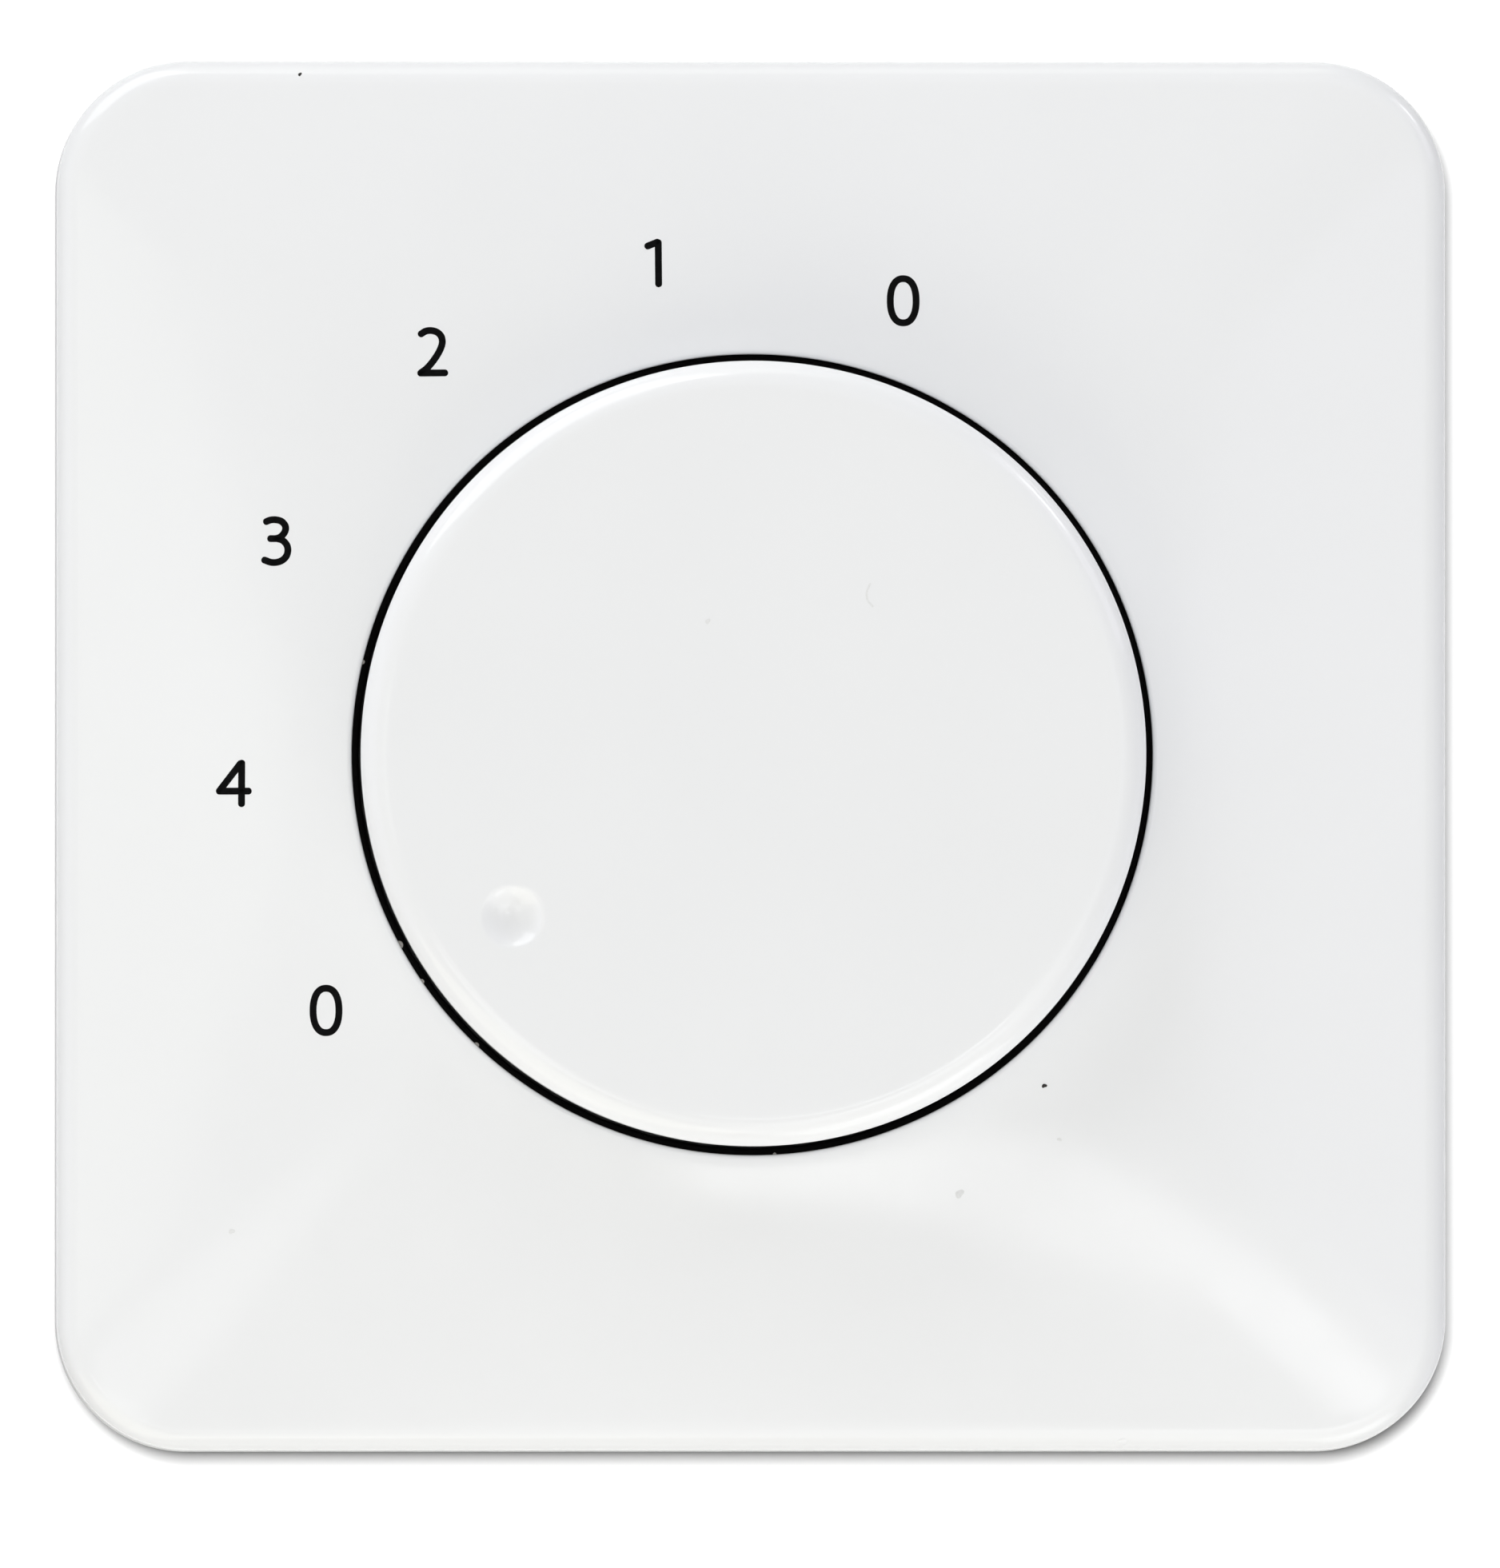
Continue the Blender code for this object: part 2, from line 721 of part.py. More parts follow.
def make_clamp_disc():
    """A dished disc: its rim presses on the plate's flange, and the nut on its centre."""
    rim = well_radius - SEAT_GAP
    dish = flange_inner - SEAT_GAP
    bore = BUSH_RADIUS + SEAT_GAP
    profile = [
        (rim, disc_rim_front),
        (rim, disc_rim_back),
        (dish, disc_rim_back),
        (dish, disc_back),
        (bore, disc_back),
        (bore, disc_front),
        (dish - DISC_THICK, disc_front),
        (dish - DISC_THICK, disc_rim_front),
    ]
    turned("clamp_disc", profile, BIG_HOLE_STEPS, black_plastic)


def bush_hole():
    """The hole of whatever slips over the bush."""
    return circle(BUSH_RADIUS + SEAT_GAP, BORE_STEPS)


def make_lock_washer():
    """A washer with square teeth round its edge: two corners out, two corners in."""
    inner = WASHER_RADIUS - WASHER_TOOTH
    radii = [WASHER_RADIUS, WASHER_RADIUS, inner, inner] * WASHER_TEETH
    turn = 2 * math.pi / len(radii)
    loop = [polar(radius, turn * k) for k, radius in enumerate(radii)]
    flat("lock_washer", [loop, bush_hole()], washer_back, washer_front, spring_steel)


def make_lock_nut():
    """A hexagon nut; a cone that starts at the width over its flats takes its front corners off."""
    half = NUT_WIDTH / 2
    hexagon = circle(half / math.cos(math.pi / 6), 6)
    nut = flat("lock_nut", [hexagon, bush_hole()], nut_back, nut_front, brass)
    slope = math.tan(NUT_CHAMFER)
    top = half - CUT_OVER / slope
    bottom = half + (NUT_THICK + CUT_OVER) / slope
    cone = [
        (0, nut_front + CUT_OVER),
        (top, nut_front + CUT_OVER),
        (bottom, nut_back - CUT_OVER),
        (0, nut_back - CUT_OVER),
    ]
    combine(nut, turned_cutter("nut_chamfer", cone, BORE_STEPS, closed=False), "INTERSECT")


def make_threaded_bush():
    bore = SPINDLE_RADIUS + SEAT_GAP
    profile = [
        (BUSH_RADIUS, bush_front),
        (BUSH_RADIUS, bush_flange_front),
        (BUSH_FLANGE_RADIUS, bush_flange_front),
        (BUSH_FLANGE_RADIUS, bush_back),
        (bore, bush_back),
        (bore, bush_front),
    ]
    turned("threaded_bush", profile, BUSH_STEPS, brass)


def make_spindle():
    """A steel shaft with a groove for its retaining ring, two flats and a pivot at its foot."""
    groove_front = retainer_front + SEAT_GAP / 2
    groove_back = retainer_back - SEAT_GAP / 2
    profile = [
        (0, spindle_front),
        (SPINDLE_RADIUS - SPINDLE_CHAMFER, spindle_front),
        (SPINDLE_RADIUS, spindle_front - SPINDLE_CHAMFER),
        (SPINDLE_RADIUS, groove_front),
        (GROOVE_RADIUS, groove_front),
        (GROOVE_RADIUS, groove_back),
        (SPINDLE_RADIUS, groove_back),
        (SPINDLE_RADIUS, pivot_front),
        (PIVOT_RADIUS, pivot_front),
        (PIVOT_RADIUS, spindle_back),
        (0, spindle_back),
    ]
    spindle = turned("spindle", profile, BORE_STEPS, zinc_steel, turning_frame, closed=False)
    flat_start = SPINDLE_RADIUS - SPINDLE_FLAT
    flat_end = SPINDLE_RADIUS + CUT_OVER
    levels = [
        (bush_front + SEAT_GAP, spindle_front + CUT_OVER),
        (rotor_back - SEAT_GAP, (groove_front + groove_back) / 2),
    ]
    flats = [
        ((flat_start, -flat_end, low), (flat_end, flat_end, high), POINTER_ANGLE)
        for low, high in levels
    ]
    cut(spindle, add_cutter("spindle_flats", boxes_mesh("spindle_flats", flats)))


def make_retaining_ring():
    loop = c_loop(GROOVE_RADIUS + SEAT_GAP, RETAINER_RADIUS, RETAINER_OPENING, math.pi / 2)
    flat("retaining_ring", [loop], retainer_back, retainer_front, spring_steel, turning_frame)


def make_support_ring():
    """The stamped mounting frame: box screw slots on the axes and a bent tab on each side."""
    outline = rounded_square(frame_half, FRAME_CORNER, side_steps=1)
    slots = [box_slot(math.pi / 2 * k) for k in range(4)]
    corner_orbit = (frame_half - FRAME_HOLE_CORNER_INSET) * math.sqrt(2)
    corner_holes = [
        circle(FRAME_HOLE_CORNER_RADIUS, SMALL_STEPS, polar(corner_orbit, angle))
        for angle in corner_angles
    ]
    loops = [outline, circle(frame_hole, BIG_HOLE_STEPS), *slots, *corner_holes]
    frame = flat("support_ring", loops, 0, frame_front, zinc_steel)
    tab_face = frame_half - FRAME_TAB_INSET
    tab = (
        (tab_face - FRAME_THICK, -FRAME_TAB_WIDTH / 2, frame_front / 2),
        (tab_face, FRAME_TAB_WIDTH / 2, frame_front + FRAME_TAB_HEIGHT),
    )
    tabs = [(*tab, math.pi / 2 * k) for k in range(4)]
    join(frame, add_cutter("frame_tabs", boxes_mesh("frame_tabs", tabs)))
    holes = lid_screw_rods(SCREW_RADIUS, -CUT_OVER, frame_front + CUT_OVER)
    cut(frame, add_cutter("frame_screw_holes", rods_mesh("frame_screw_holes", holes, SMALL_STEPS)))


def box_slot(facing):
    """A slot with round ends along an arc; the box screw may sit anywhere along it."""
    half_slot = BOX_SLOT_WIDTH / 2
    start = facing - BOX_SLOT_SWEEP / 2
    end = facing + BOX_SLOT_SWEEP / 2
    outer = arc((0, 0), box_slot_orbit + half_slot, start, end, SHORT_ARC_STEPS)
    inner = arc((0, 0), box_slot_orbit - half_slot, end, start, SHORT_ARC_STEPS)
    far_end = slot_end(end, end)
    near_end = slot_end(start, start + math.pi)
    return outer + far_end + inner + near_end


def slot_end(place_angle, start):
    """The half circle at one end of a box screw slot, without the points that its arcs give."""
    centre = polar(box_slot_orbit, place_angle)
    return arc(centre, BOX_SLOT_WIDTH / 2, start, start + math.pi, CORNER_STEPS)[1:-1]


def lid_screw_places():
    return [polar(screw_orbit, angle) for angle in corner_angles]


def lid_screw_rods(radius, low, high):
    """Upright rods at the four lid screws, with room round the screw."""
    return [(*place, radius + SEAT_GAP, low, high) for place in lid_screw_places()]


def make_switch_lid():
    """The lid covers the chamber in front of the frame, and its spigot centres it in the frame."""
    loops = [octagon(body_half, BODY_CHAMFER), bush_hole()]
    lid = flat("switch_lid", loops, lid_back, lid_front, grey_plastic)
    outer = frame_hole - SEAT_GAP
    inner = outer - LID_SPIGOT_WALL
    root = lid_back + LID_THICK / 2
    spigot = [(outer, root), (outer, 0), (inner, 0), (inner, root)]
    join(lid, turned_cutter("lid_spigot", spigot, SPIGOT_STEPS))
    seat = lid_screw_seat - SEAT_GAP
    heads = lid_screw_rods(SCREW_HEAD_RADIUS, seat, lid_front + CUT_OVER)
    holes = lid_screw_rods(SCREW_RADIUS, lid_back - CUT_OVER, seat + CUT_OVER)
    cut(lid, add_cutter("lid_head_recesses", rods_mesh("lid_head_recesses", heads, HEAD_STEPS)))
    cut(lid, add_cutter("lid_screw_holes", rods_mesh("lid_screw_holes", holes, SMALL_STEPS)))


def screw_profile(radius, length, head_radius, head_thick):
    """A pan head on a plain shank; z = 0 is the underside of the head."""
    return [
        (0, head_thick),
        (head_radius * HEAD_TOP_SHARE, head_thick),
        (head_radius, head_thick * HEAD_SIDE_SHARE),
        (head_radius, 0),
        (radius, 0),
        (radius, radius - length),
        (0, -length),
    ]


def slotted_screw(name, radius, length, head_radius, head_thick):
    """One finished screw with a driver slot."""
    profile = screw_profile(radius, length, head_radius, head_thick)
    screw = turned(name, profile, SMALL_STEPS, zinc_steel, closed=False)
    reach = head_radius + CUT_OVER
    low = (-reach, -SCREW_SLOT / 2, head_thick - SCREW_SLOT_DEPTH)
    high = (reach, SCREW_SLOT / 2, head_thick + CUT_OVER)
    slot = add_cutter(f"{name}_slot", boxes_mesh("slot", [(low, high, SCREW_SLOT_TURN)]))
    cut(screw, slot)
    mesh = finished(screw)
    bpy.data.objects.remove(slot)
    return screw, mesh


def make_lid_screws():
    first, mesh = slotted_screw(
        "lid_screw_1", SCREW_RADIUS, SCREW_LENGTH, SCREW_HEAD_RADIUS, SCREW_HEAD_THICK
    )
    screws = [first]
    for k in range(2, len(corner_angles) + 1):
        copy = bpy.data.objects.new(f"lid_screw_{k}", mesh)
        copy.parent = wall_frame
        parts.objects.link(copy)
        screws.append(copy)
    for screw, place in zip(screws, lid_screw_places()):
        screw.location = (*place, lid_screw_seat)


def terminal_places():
    """Name, x and the side (1 above, -1 below) of each terminal."""
    span = TERMINAL_PITCH * (SPEEDS - 1)
    places = [("common", 0.0, -1)]
    for k in range(SPEEDS):
        places.append((str(k + 1), span / 2 - TERMINAL_PITCH * k, 1))
    return places


def elbow_level(x):
    """How far from the axis, along y, the strip at x bends towards its terminal."""
    return STRIP_ELBOW * math.sqrt(chamber_radius**2 - x**2)


def make_switch_base():
    """The insulating base: everything is laid in from the front, and the wires enter behind."""
    outline = octagon(body_half, BODY_CHAMFER)
    base = flat("switch_base", [outline], body_back, body_front, grey_plastic)
    top = body_front + CUT_OVER
    chamber = rods_mesh("chamber", [(0, 0, chamber_radius, floor_front, top)], CHAMBER_STEPS)
    cut(base, add_cutter("chamber", chamber))
    cut_terminal_seats(base, top)
    holes = lid_screw_rods(SCREW_RADIUS, lid_screw_tip - SEAT_GAP, top)
    pivot = (0, 0, PIVOT_RADIUS + SEAT_GAP, spindle_back - SEAT_GAP, floor_front + CUT_OVER)
    cut(base, add_cutter("base_holes", rods_mesh("base_holes", [*holes, pivot], SMALL_STEPS)))
    cut_leaf_seat(base, top)
    cut(base, flat_cutter("rear_cores", rear_cores(), body_back - CUT_OVER, floor_back))
    roof = body_front - FLANK_CORE_ROOF
    cut(base, flat_cutter("flank_cores", flank_cores(), body_back - CUT_OVER, roof))
    join(base, stops())


def cut_terminal_seats(base, top):
    """For each terminal a pocket, a slot for its strip, a round entry for the wire and a driver hole."""
    pockets = []
    slots = []
    wires = []
    half_pocket = TERMINAL_WIDTH / 2 + SEAT_GAP
    half_slot = STRIP_WIDTH / 2 + SEAT_GAP
    pocket_level = terminal_back - SEAT_GAP
    entry = (WIRE_RADIUS + SEAT_GAP, body_back - CUT_OVER, pocket_level + CUT_OVER)
    for _, x, side in terminal_places():
        near = side * (terminal_inner - SEAT_GAP)
        far = side * (terminal_outer + SEAT_GAP)
        low_y, high_y = sorted((near, far))
        pockets.append(((x - half_pocket, low_y, pocket_level), (x + half_pocket, high_y, top), 0))
        near = side * (elbow_level(x) - half_slot)
        far = side * (terminal_inner + CUT_OVER)
        low_y, high_y = sorted((near, far))
        slots.append(((x - half_slot, low_y, floor_front), (x + half_slot, high_y, top), 0))
        wires.append((x, side * wire_offset, *entry))
    cut(base, add_cutter("terminal_pockets", boxes_mesh("terminal_pockets", pockets)))
    cut(base, add_cutter("strip_slots", boxes_mesh("strip_slots", slots)))
    cut(base, add_cutter("wire_entries", rods_mesh("wire_entries", wires, SMALL_STEPS)))
    cut(base, add_cutter("driver_holes", driver_holes_mesh()))


def driver_holes_mesh():
    """Round holes through the flanks, one over each clamp screw."""

    def build(shape):
        for _, x, side in terminal_places():
            middle = side * (terminal_outer + body_half) / 2
            place = Matrix.Translation((x, middle, clamp_screw_level))
            bmesh.ops.create_cone(
                shape,
                cap_ends=True,
                segments=HEAD_STEPS,
                radius1=CLAMP_HEAD_RADIUS + SEAT_GAP,
                radius2=CLAMP_HEAD_RADIUS + SEAT_GAP,
                depth=body_half - terminal_outer + CUT_OVER,
                matrix=place @ Matrix.Rotation(math.pi / 2, 4, "X"),
            )

    return mesh_of("driver_holes", build)


def cut_leaf_seat(base, top):
    """A narrow slot holds the leaf spring's ends, and a wider pocket lets its middle bend."""
    half_slot = LEAF_THICK / 2 + SEAT_GAP
    level = wheel_front - LEAF_WIDTH - SEAT_GAP
    long_half = LEAF_HALF_LENGTH + SEAT_GAP
    turn = DETENT_SIDE + math.pi / 2
    slot = (
        (-long_half, -leaf_offset - half_slot, level),
        (long_half, half_slot - leaf_offset, top),
        turn,
    )
    bend = NOTCH_DEPTH + LEAF_THICK / 2
    pocket = (
        (-LEAF_FREE_HALF, -leaf_offset - bend, level),
        (LEAF_FREE_HALF, -chamber_radius / 2, top),
        turn,
    )
    cut(base, add_cutter("leaf_slot", boxes_mesh("leaf_slot", [slot])))
    cut(base, add_cutter("leaf_pocket", boxes_mesh("leaf_pocket", [pocket])))


def rear_cores():
    """Outlines of the four hollows behind the floor, which keep the moulding's walls even."""
    outer = chamber_radius - CORE_WALL
    half = math.pi / 4 - CORE_RIB / 2
    loops = []
    for angle in corner_angles:
        outside = arc((0, 0), outer, angle - half, angle + half, TIP_STEPS)
        inside = arc((0, 0), CORE_INNER, angle + half, angle - half, SHORT_ARC_STEPS)
        loops.append(outside + inside)
    return loops


def flank_cores():
    """Outlines of two hollows in each flank, between the round chamber and the straight side."""
    inner = chamber_radius + CHAMBER_WALL
    outer = body_half - FLANK_WALL
    near = FLANK_RIB / 2
    far = FLANK_CORE_HALF
    curve = arc((0, 0), inner, math.asin(far / inner), math.asin(near / inner), SHORT_ARC_STEPS)
    quarter = [*curve, (outer, near), (outer, far)]
    signs = ((1, 1), (-1, 1), (-1, -1), (1, -1))
    return [[(side * x, edge * y) for x, y in quarter] for side, edge in signs]


def stops():
    """Two ribs on the chamber wall, where the wheel's lug ends its travel."""
    reach = (LUG_SWEEP + STOP_SWEEP) / 2 + STOP_MARGIN
    loops = []
    for angle in (wiper_angle + reach, wiper_angle - turn_range - reach):
        start = angle - STOP_SWEEP / 2
        end = angle + STOP_SWEEP / 2
        inner = WHEEL_RADIUS + RUN_GAP
        outer = chamber_radius + CHAMBER_WALL / 2
        loops.append(arc((0, 0), outer, start, end, 2) + arc((0, 0), inner, end, start, 2))
    return flat_cutter("stops", loops, floor_front - CUT_OVER, wheel_front)


def make_detent_wheel():
    """A wheel with one notch for each position and a lug that meets the stops."""
    positions = SPEEDS + 2
    wave_start = DETENT_SIDE - DETENT_PITCH / 2
    wave_end = wave_start + DETENT_PITCH * positions
    steps = NOTCH_STEPS * positions
    loop = []
    for k in range(steps):
        phase = 2 * math.pi * k / NOTCH_STEPS
        depth = NOTCH_DEPTH * (1 - math.cos(phase)) / 2
        angle = wave_start + (wave_end - wave_start) * k / steps
        loop.append(polar(WHEEL_RADIUS - depth, angle))
    lug_angle = wiper_angle + 2 * math.pi
    lug_start = lug_angle - LUG_SWEEP / 2
    lug_end = lug_angle + LUG_SWEEP / 2
    loop += arc((0, 0), WHEEL_RADIUS, wave_end, lug_start, SMALL_STEPS)
    loop += arc((0, 0), WHEEL_RADIUS + LUG_REACH, lug_start, lug_end, SHORT_ARC_STEPS)
    loop += arc((0, 0), WHEEL_RADIUS, lug_end, wave_start + 2 * math.pi, NOTCH_STEPS)[:-1]
    flat("detent_wheel", [loop, d_loop()], wheel_back, wheel_front, nylon, turning_frame)


def make_detent_spring():
    """A leaf spring across the chamber with a nose that rests in a notch."""
    nose = leaf_offset - (WHEEL_RADIUS - NOTCH_DEPTH) - SEAT_GAP - LEAF_THICK / 2
    path = [(-LEAF_HALF_LENGTH, 0)]
    for k in range(SMALL_STEPS + 1):
        share = 2 * k / SMALL_STEPS - 1
        path.append((NOSE_HALF_WIDTH * share, nose * math.cos(math.pi / 2 * share) ** 2))
    path.append((LEAF_HALF_LENGTH, 0))
    turn = Matrix.Rotation(DETENT_SIDE + math.pi / 2, 4, "Z")
    loop = strip_outline([(x, y - leaf_offset) for x, y in path], LEAF_THICK / 2)
    spring = flat("detent_spring", [loop], wheel_front - LEAF_WIDTH, wheel_front, spring_steel)
    spring.rotation_euler = turn.to_euler()


def make_contact_rotor():
    """A disc with a hub, and two pegs that carry the wiper's arm round."""
    web_front = rotor_back + ROTOR_WEB
    profile = [
        (0, rotor_front),
        (ROTOR_HUB_RADIUS, rotor_front),
        (ROTOR_HUB_RADIUS, web_front),
        (WHEEL_RADIUS, web_front),
        (WHEEL_RADIUS, rotor_back),
        (0, rotor_back),
    ]
    rotor = turned("contact_rotor", profile, ROTOR_STEPS, nylon, turning_frame, closed=False)
    inner = WIPER_ARM_WIDTH / 2 + SEAT_GAP
    pegs = []
    for side in (1, -1):
        low_y, high_y = sorted((side * inner, side * (inner + PEG_WIDTH)))
        low = (peg_orbit - PEG_LENGTH / 2, low_y, wiper_back)
        high = (peg_orbit + PEG_LENGTH / 2, high_y, rotor_back + ROTOR_WEB / 2)
        pegs.append((low, high, wiper_angle))
    join(rotor, add_cutter("rotor_pegs", boxes_mesh("rotor_pegs", pegs)))
    bore = flat_cutter("rotor_bore", [d_loop()], rotor_back - CUT_OVER, rotor_front + CUT_OVER)
    cut(rotor, bore)


def make_wiper():
    """A bronze bridge: one button runs on the centre ring, the other over the speed pads."""
    loop = ring_with_arm(ring_contact_outer, WIPER_ARM_WIDTH / 2, pad_orbit, wiper_angle)
    hole = circle(SPINDLE_RADIUS + RUN_GAP, LOOP_STEPS)
    wiper = flat("wiper", [loop, hole], wiper_back, wiper_front, bronze, turning_frame)
    middle = (ring_contact_inner + ring_contact_outer) / 2
    low = wiper_back - BUTTON_HEIGHT
    high = wiper_back + WIPER_THICK / 2
    places = [polar(pad_orbit, wiper_angle), polar(middle, wiper_angle + math.pi)]
    buttons = [(*place, BUTTON_RADIUS, low, high) for place in places]
    join(wiper, add_cutter("wiper_buttons", rods_mesh("wiper_buttons", buttons, SMALL_STEPS)))


def make_wiper_spring():
    """An open coil between the rotor and the wiper."""
    curve = bpy.data.curves.new("wiper_spring", "CURVE")
    curve.dimensions = "3D"
    curve.bevel_depth = COIL_WIRE_RADIUS
    curve.bevel_resolution = 2
    curve.use_fill_caps = True
    low = wiper_front + SEAT_GAP + COIL_WIRE_RADIUS
    high = rotor_back - SEAT_GAP - COIL_WIRE_RADIUS
    count = round(COIL_TURNS * SMALL_STEPS)
    spline = curve.splines.new("POLY")
    spline.points.add(count)
    for k, point in enumerate(spline.points):
        x, y = polar(COIL_RADIUS, 2 * math.pi * k / SMALL_STEPS)
        point.co = (x, y, low + (high - low) * k / count, 1)
    add_piece("wiper_spring", curve, spring_steel, turning_frame)


def make_contacts():
    """Flat strips from the pads under the wiper to the terminals."""
    end = terminal_inner + TONGUE
    half = STRIP_WIDTH / 2
    loop = ring_with_arm(ring_contact_outer, half, end - half, -math.pi / 2)
    hole = circle(ring_contact_inner, LOOP_STEPS)
    flat("common_contact", [loop, hole], strip_back, strip_front, brass)
    for k in range(SPEEDS):
        angle = first_speed_angle + DETENT_PITCH * k
        x = terminal_places()[k + 1][1]
        pad = polar(pad_orbit, angle)
        elbow = (x, elbow_level(x))
        body = strip_outline([pad, elbow, (x, end)], half)
        left = math.atan2(elbow[1] - pad[1], elbow[0] - pad[0]) + math.pi / 2
        tip = arc(pad, half, left, left + math.pi, TIP_STEPS)[1:-1]
        flat(f"speed_contact_{k + 1}", [body + tip], strip_back, strip_front, brass)


def terminal_mesh():
    """A brass block at x = 0 above the axis: wire bore from behind, thread from outside."""
    half = TERMINAL_WIDTH / 2
    corners = [(-half, terminal_inner), (half, terminal_inner)]
    corners += [(half, terminal_outer), (-half, terminal_outer)]
    bore = circle(WIRE_RADIUS, HEAD_STEPS, (0, wire_offset))
    block = flat("terminal_common", [corners, bore], terminal_back, terminal_front, brass)
    half_slot = STRIP_WIDTH / 2 + SEAT_GAP
    low = (-half_slot, terminal_inner - CUT_OVER, strip_back - SEAT_GAP)
    high = (half_slot, wire_offset, strip_front + SEAT_GAP)
    cut(block, add_cutter("tongue_slot", boxes_mesh("tongue_slot", [(low, high, 0)])))

    def thread(shape):
        middle = (wire_offset + terminal_outer + CUT_OVER) / 2
        place = Matrix.Translation((0, middle, clamp_screw_level))
        bmesh.ops.create_cone(
            shape,
            cap_ends=True,
            segments=SMALL_STEPS,
            radius1=CLAMP_SCREW_RADIUS + SEAT_GAP,
            radius2=CLAMP_SCREW_RADIUS + SEAT_GAP,
            depth=terminal_outer + CUT_OVER - wire_offset,
            matrix=place @ Matrix.Rotation(math.pi / 2, 4, "X"),
        )

    cut(block, add_cutter("clamp_thread", mesh_of("clamp_thread", thread)))
    return block, finished(block)


def make_terminals():
    """Five terminal blocks and their clamp screws; the one below is turned round the axis."""
    block, block_mesh = terminal_mesh()
    length = WIRE_OUTER_WALL + SEAT_GAP + WIRE_RADIUS / 2
    screw, screw_mesh = slotted_screw(
        "terminal_screw_common", CLAMP_SCREW_RADIUS, length, CLAMP_HEAD_RADIUS, CLAMP_HEAD_THICK
    )
    for name, x, side in terminal_places():
        if name != "common":
            block = bpy.data.objects.new(f"terminal_{name}", block_mesh)
            screw = bpy.data.objects.new(f"terminal_screw_{name}", screw_mesh)
            for piece in (block, screw):
                piece.parent = wall_frame
                parts.objects.link(piece)
        block.location.x = x
        block.rotation_euler.z = 0 if side > 0 else math.pi
        screw.location = (x, side * (terminal_outer + SEAT_GAP), clamp_screw_level)
        screw.rotation_euler.x = -side * math.pi / 2


make_cover_plate()
make_knob()
make_knob_spring_ring()
make_clamp_disc()
make_lock_washer()
make_lock_nut()
make_threaded_bush()
make_spindle()
make_retaining_ring()
make_support_ring()
make_switch_lid()
make_lid_screws()
make_switch_base()
make_detent_wheel()
make_detent_spring()
make_contact_rotor()
make_wiper()
make_wiper_spring()
make_contacts()
make_terminals()
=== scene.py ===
import json
import math

import bmesh
import bpy
import numpy as np
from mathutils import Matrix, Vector

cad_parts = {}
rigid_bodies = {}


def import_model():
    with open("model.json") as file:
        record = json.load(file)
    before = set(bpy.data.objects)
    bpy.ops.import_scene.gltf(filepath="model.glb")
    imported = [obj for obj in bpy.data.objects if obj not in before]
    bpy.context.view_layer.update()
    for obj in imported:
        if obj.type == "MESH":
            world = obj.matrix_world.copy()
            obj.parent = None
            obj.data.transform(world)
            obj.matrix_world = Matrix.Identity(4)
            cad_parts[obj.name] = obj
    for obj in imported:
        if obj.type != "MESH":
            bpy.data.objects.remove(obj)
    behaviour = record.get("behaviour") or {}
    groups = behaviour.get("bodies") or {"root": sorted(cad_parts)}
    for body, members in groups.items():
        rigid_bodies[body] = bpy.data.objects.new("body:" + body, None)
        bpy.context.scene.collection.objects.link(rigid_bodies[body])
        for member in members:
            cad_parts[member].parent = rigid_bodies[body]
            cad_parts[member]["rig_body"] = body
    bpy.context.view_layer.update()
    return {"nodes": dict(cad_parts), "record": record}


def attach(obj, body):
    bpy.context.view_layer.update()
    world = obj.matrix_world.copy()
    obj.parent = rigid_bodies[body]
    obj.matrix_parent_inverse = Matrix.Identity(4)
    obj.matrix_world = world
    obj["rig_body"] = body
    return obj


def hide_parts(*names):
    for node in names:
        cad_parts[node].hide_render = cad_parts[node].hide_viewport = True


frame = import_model()
mm = 0.001


# Colours and nodes

def hexColour(text):
    # An sRGB hex value as linear red, green, blue and alpha.
    channels = [int(text[k:k + 2], 16) / 255 for k in (0, 2, 4)]
    linear = [c / 12.92 if c <= 0.04045 else ((c + 0.055) / 1.055) ** 2.4 for c in channels]
    return (*linear, 1.0)


def addNode(tree, kind, settings=None, links=None):
    # settings are attributes or unlinked sockets, links are sockets fed by another node
    node = tree.nodes.new(kind)
    for key, value in (settings or {}).items():
        if isinstance(key, int) or key in node.inputs:
            node.inputs[key].default_value = value
        else:
            setattr(node, key, value)
    for key, source in (links or {}).items():
        tree.links.new(source, node.inputs[key])
    return node


def startFinish(name, shaderSettings):
    # A new material with its shader; patterns read the object's own coordinates in metres.
    finish = bpy.data.materials.new(name)
    finish.use_nodes = True
    tree = finish.node_tree
    tree.nodes.clear()
    shader = addNode(tree, "ShaderNodeBsdfPrincipled", shaderSettings)
    addNode(tree, "ShaderNodeOutputMaterial", links={"Surface": shader.outputs[0]})
    place = addNode(tree, "ShaderNodeTexCoord").outputs["Object"]
    return finish, tree, shader, place


def spots(tree, place, size, detail=2.0, stretch=(1, 1, 1)):
    # noise whose features are about this size in metres, squeezed along an axis by stretch
    mapping = addNode(tree, "ShaderNodeMapping", {"Scale": stretch}, {"Vector": place})
    noise = addNode(
        tree, "ShaderNodeTexNoise", {"Scale": 1 / size, "Detail": detail}, {"Vector": mapping.outputs[0]}
    )
    return noise.outputs["Fac"]


def between(tree, factor, low, high, start=0.35, end=0.65):
    # a number that runs from low to high as the factor runs from start to end
    settings = {"From Min": start, "From Max": end, "To Min": low, "To Max": high}
    return addNode(tree, "ShaderNodeMapRange", settings, {"Value": factor}).outputs["Result"]


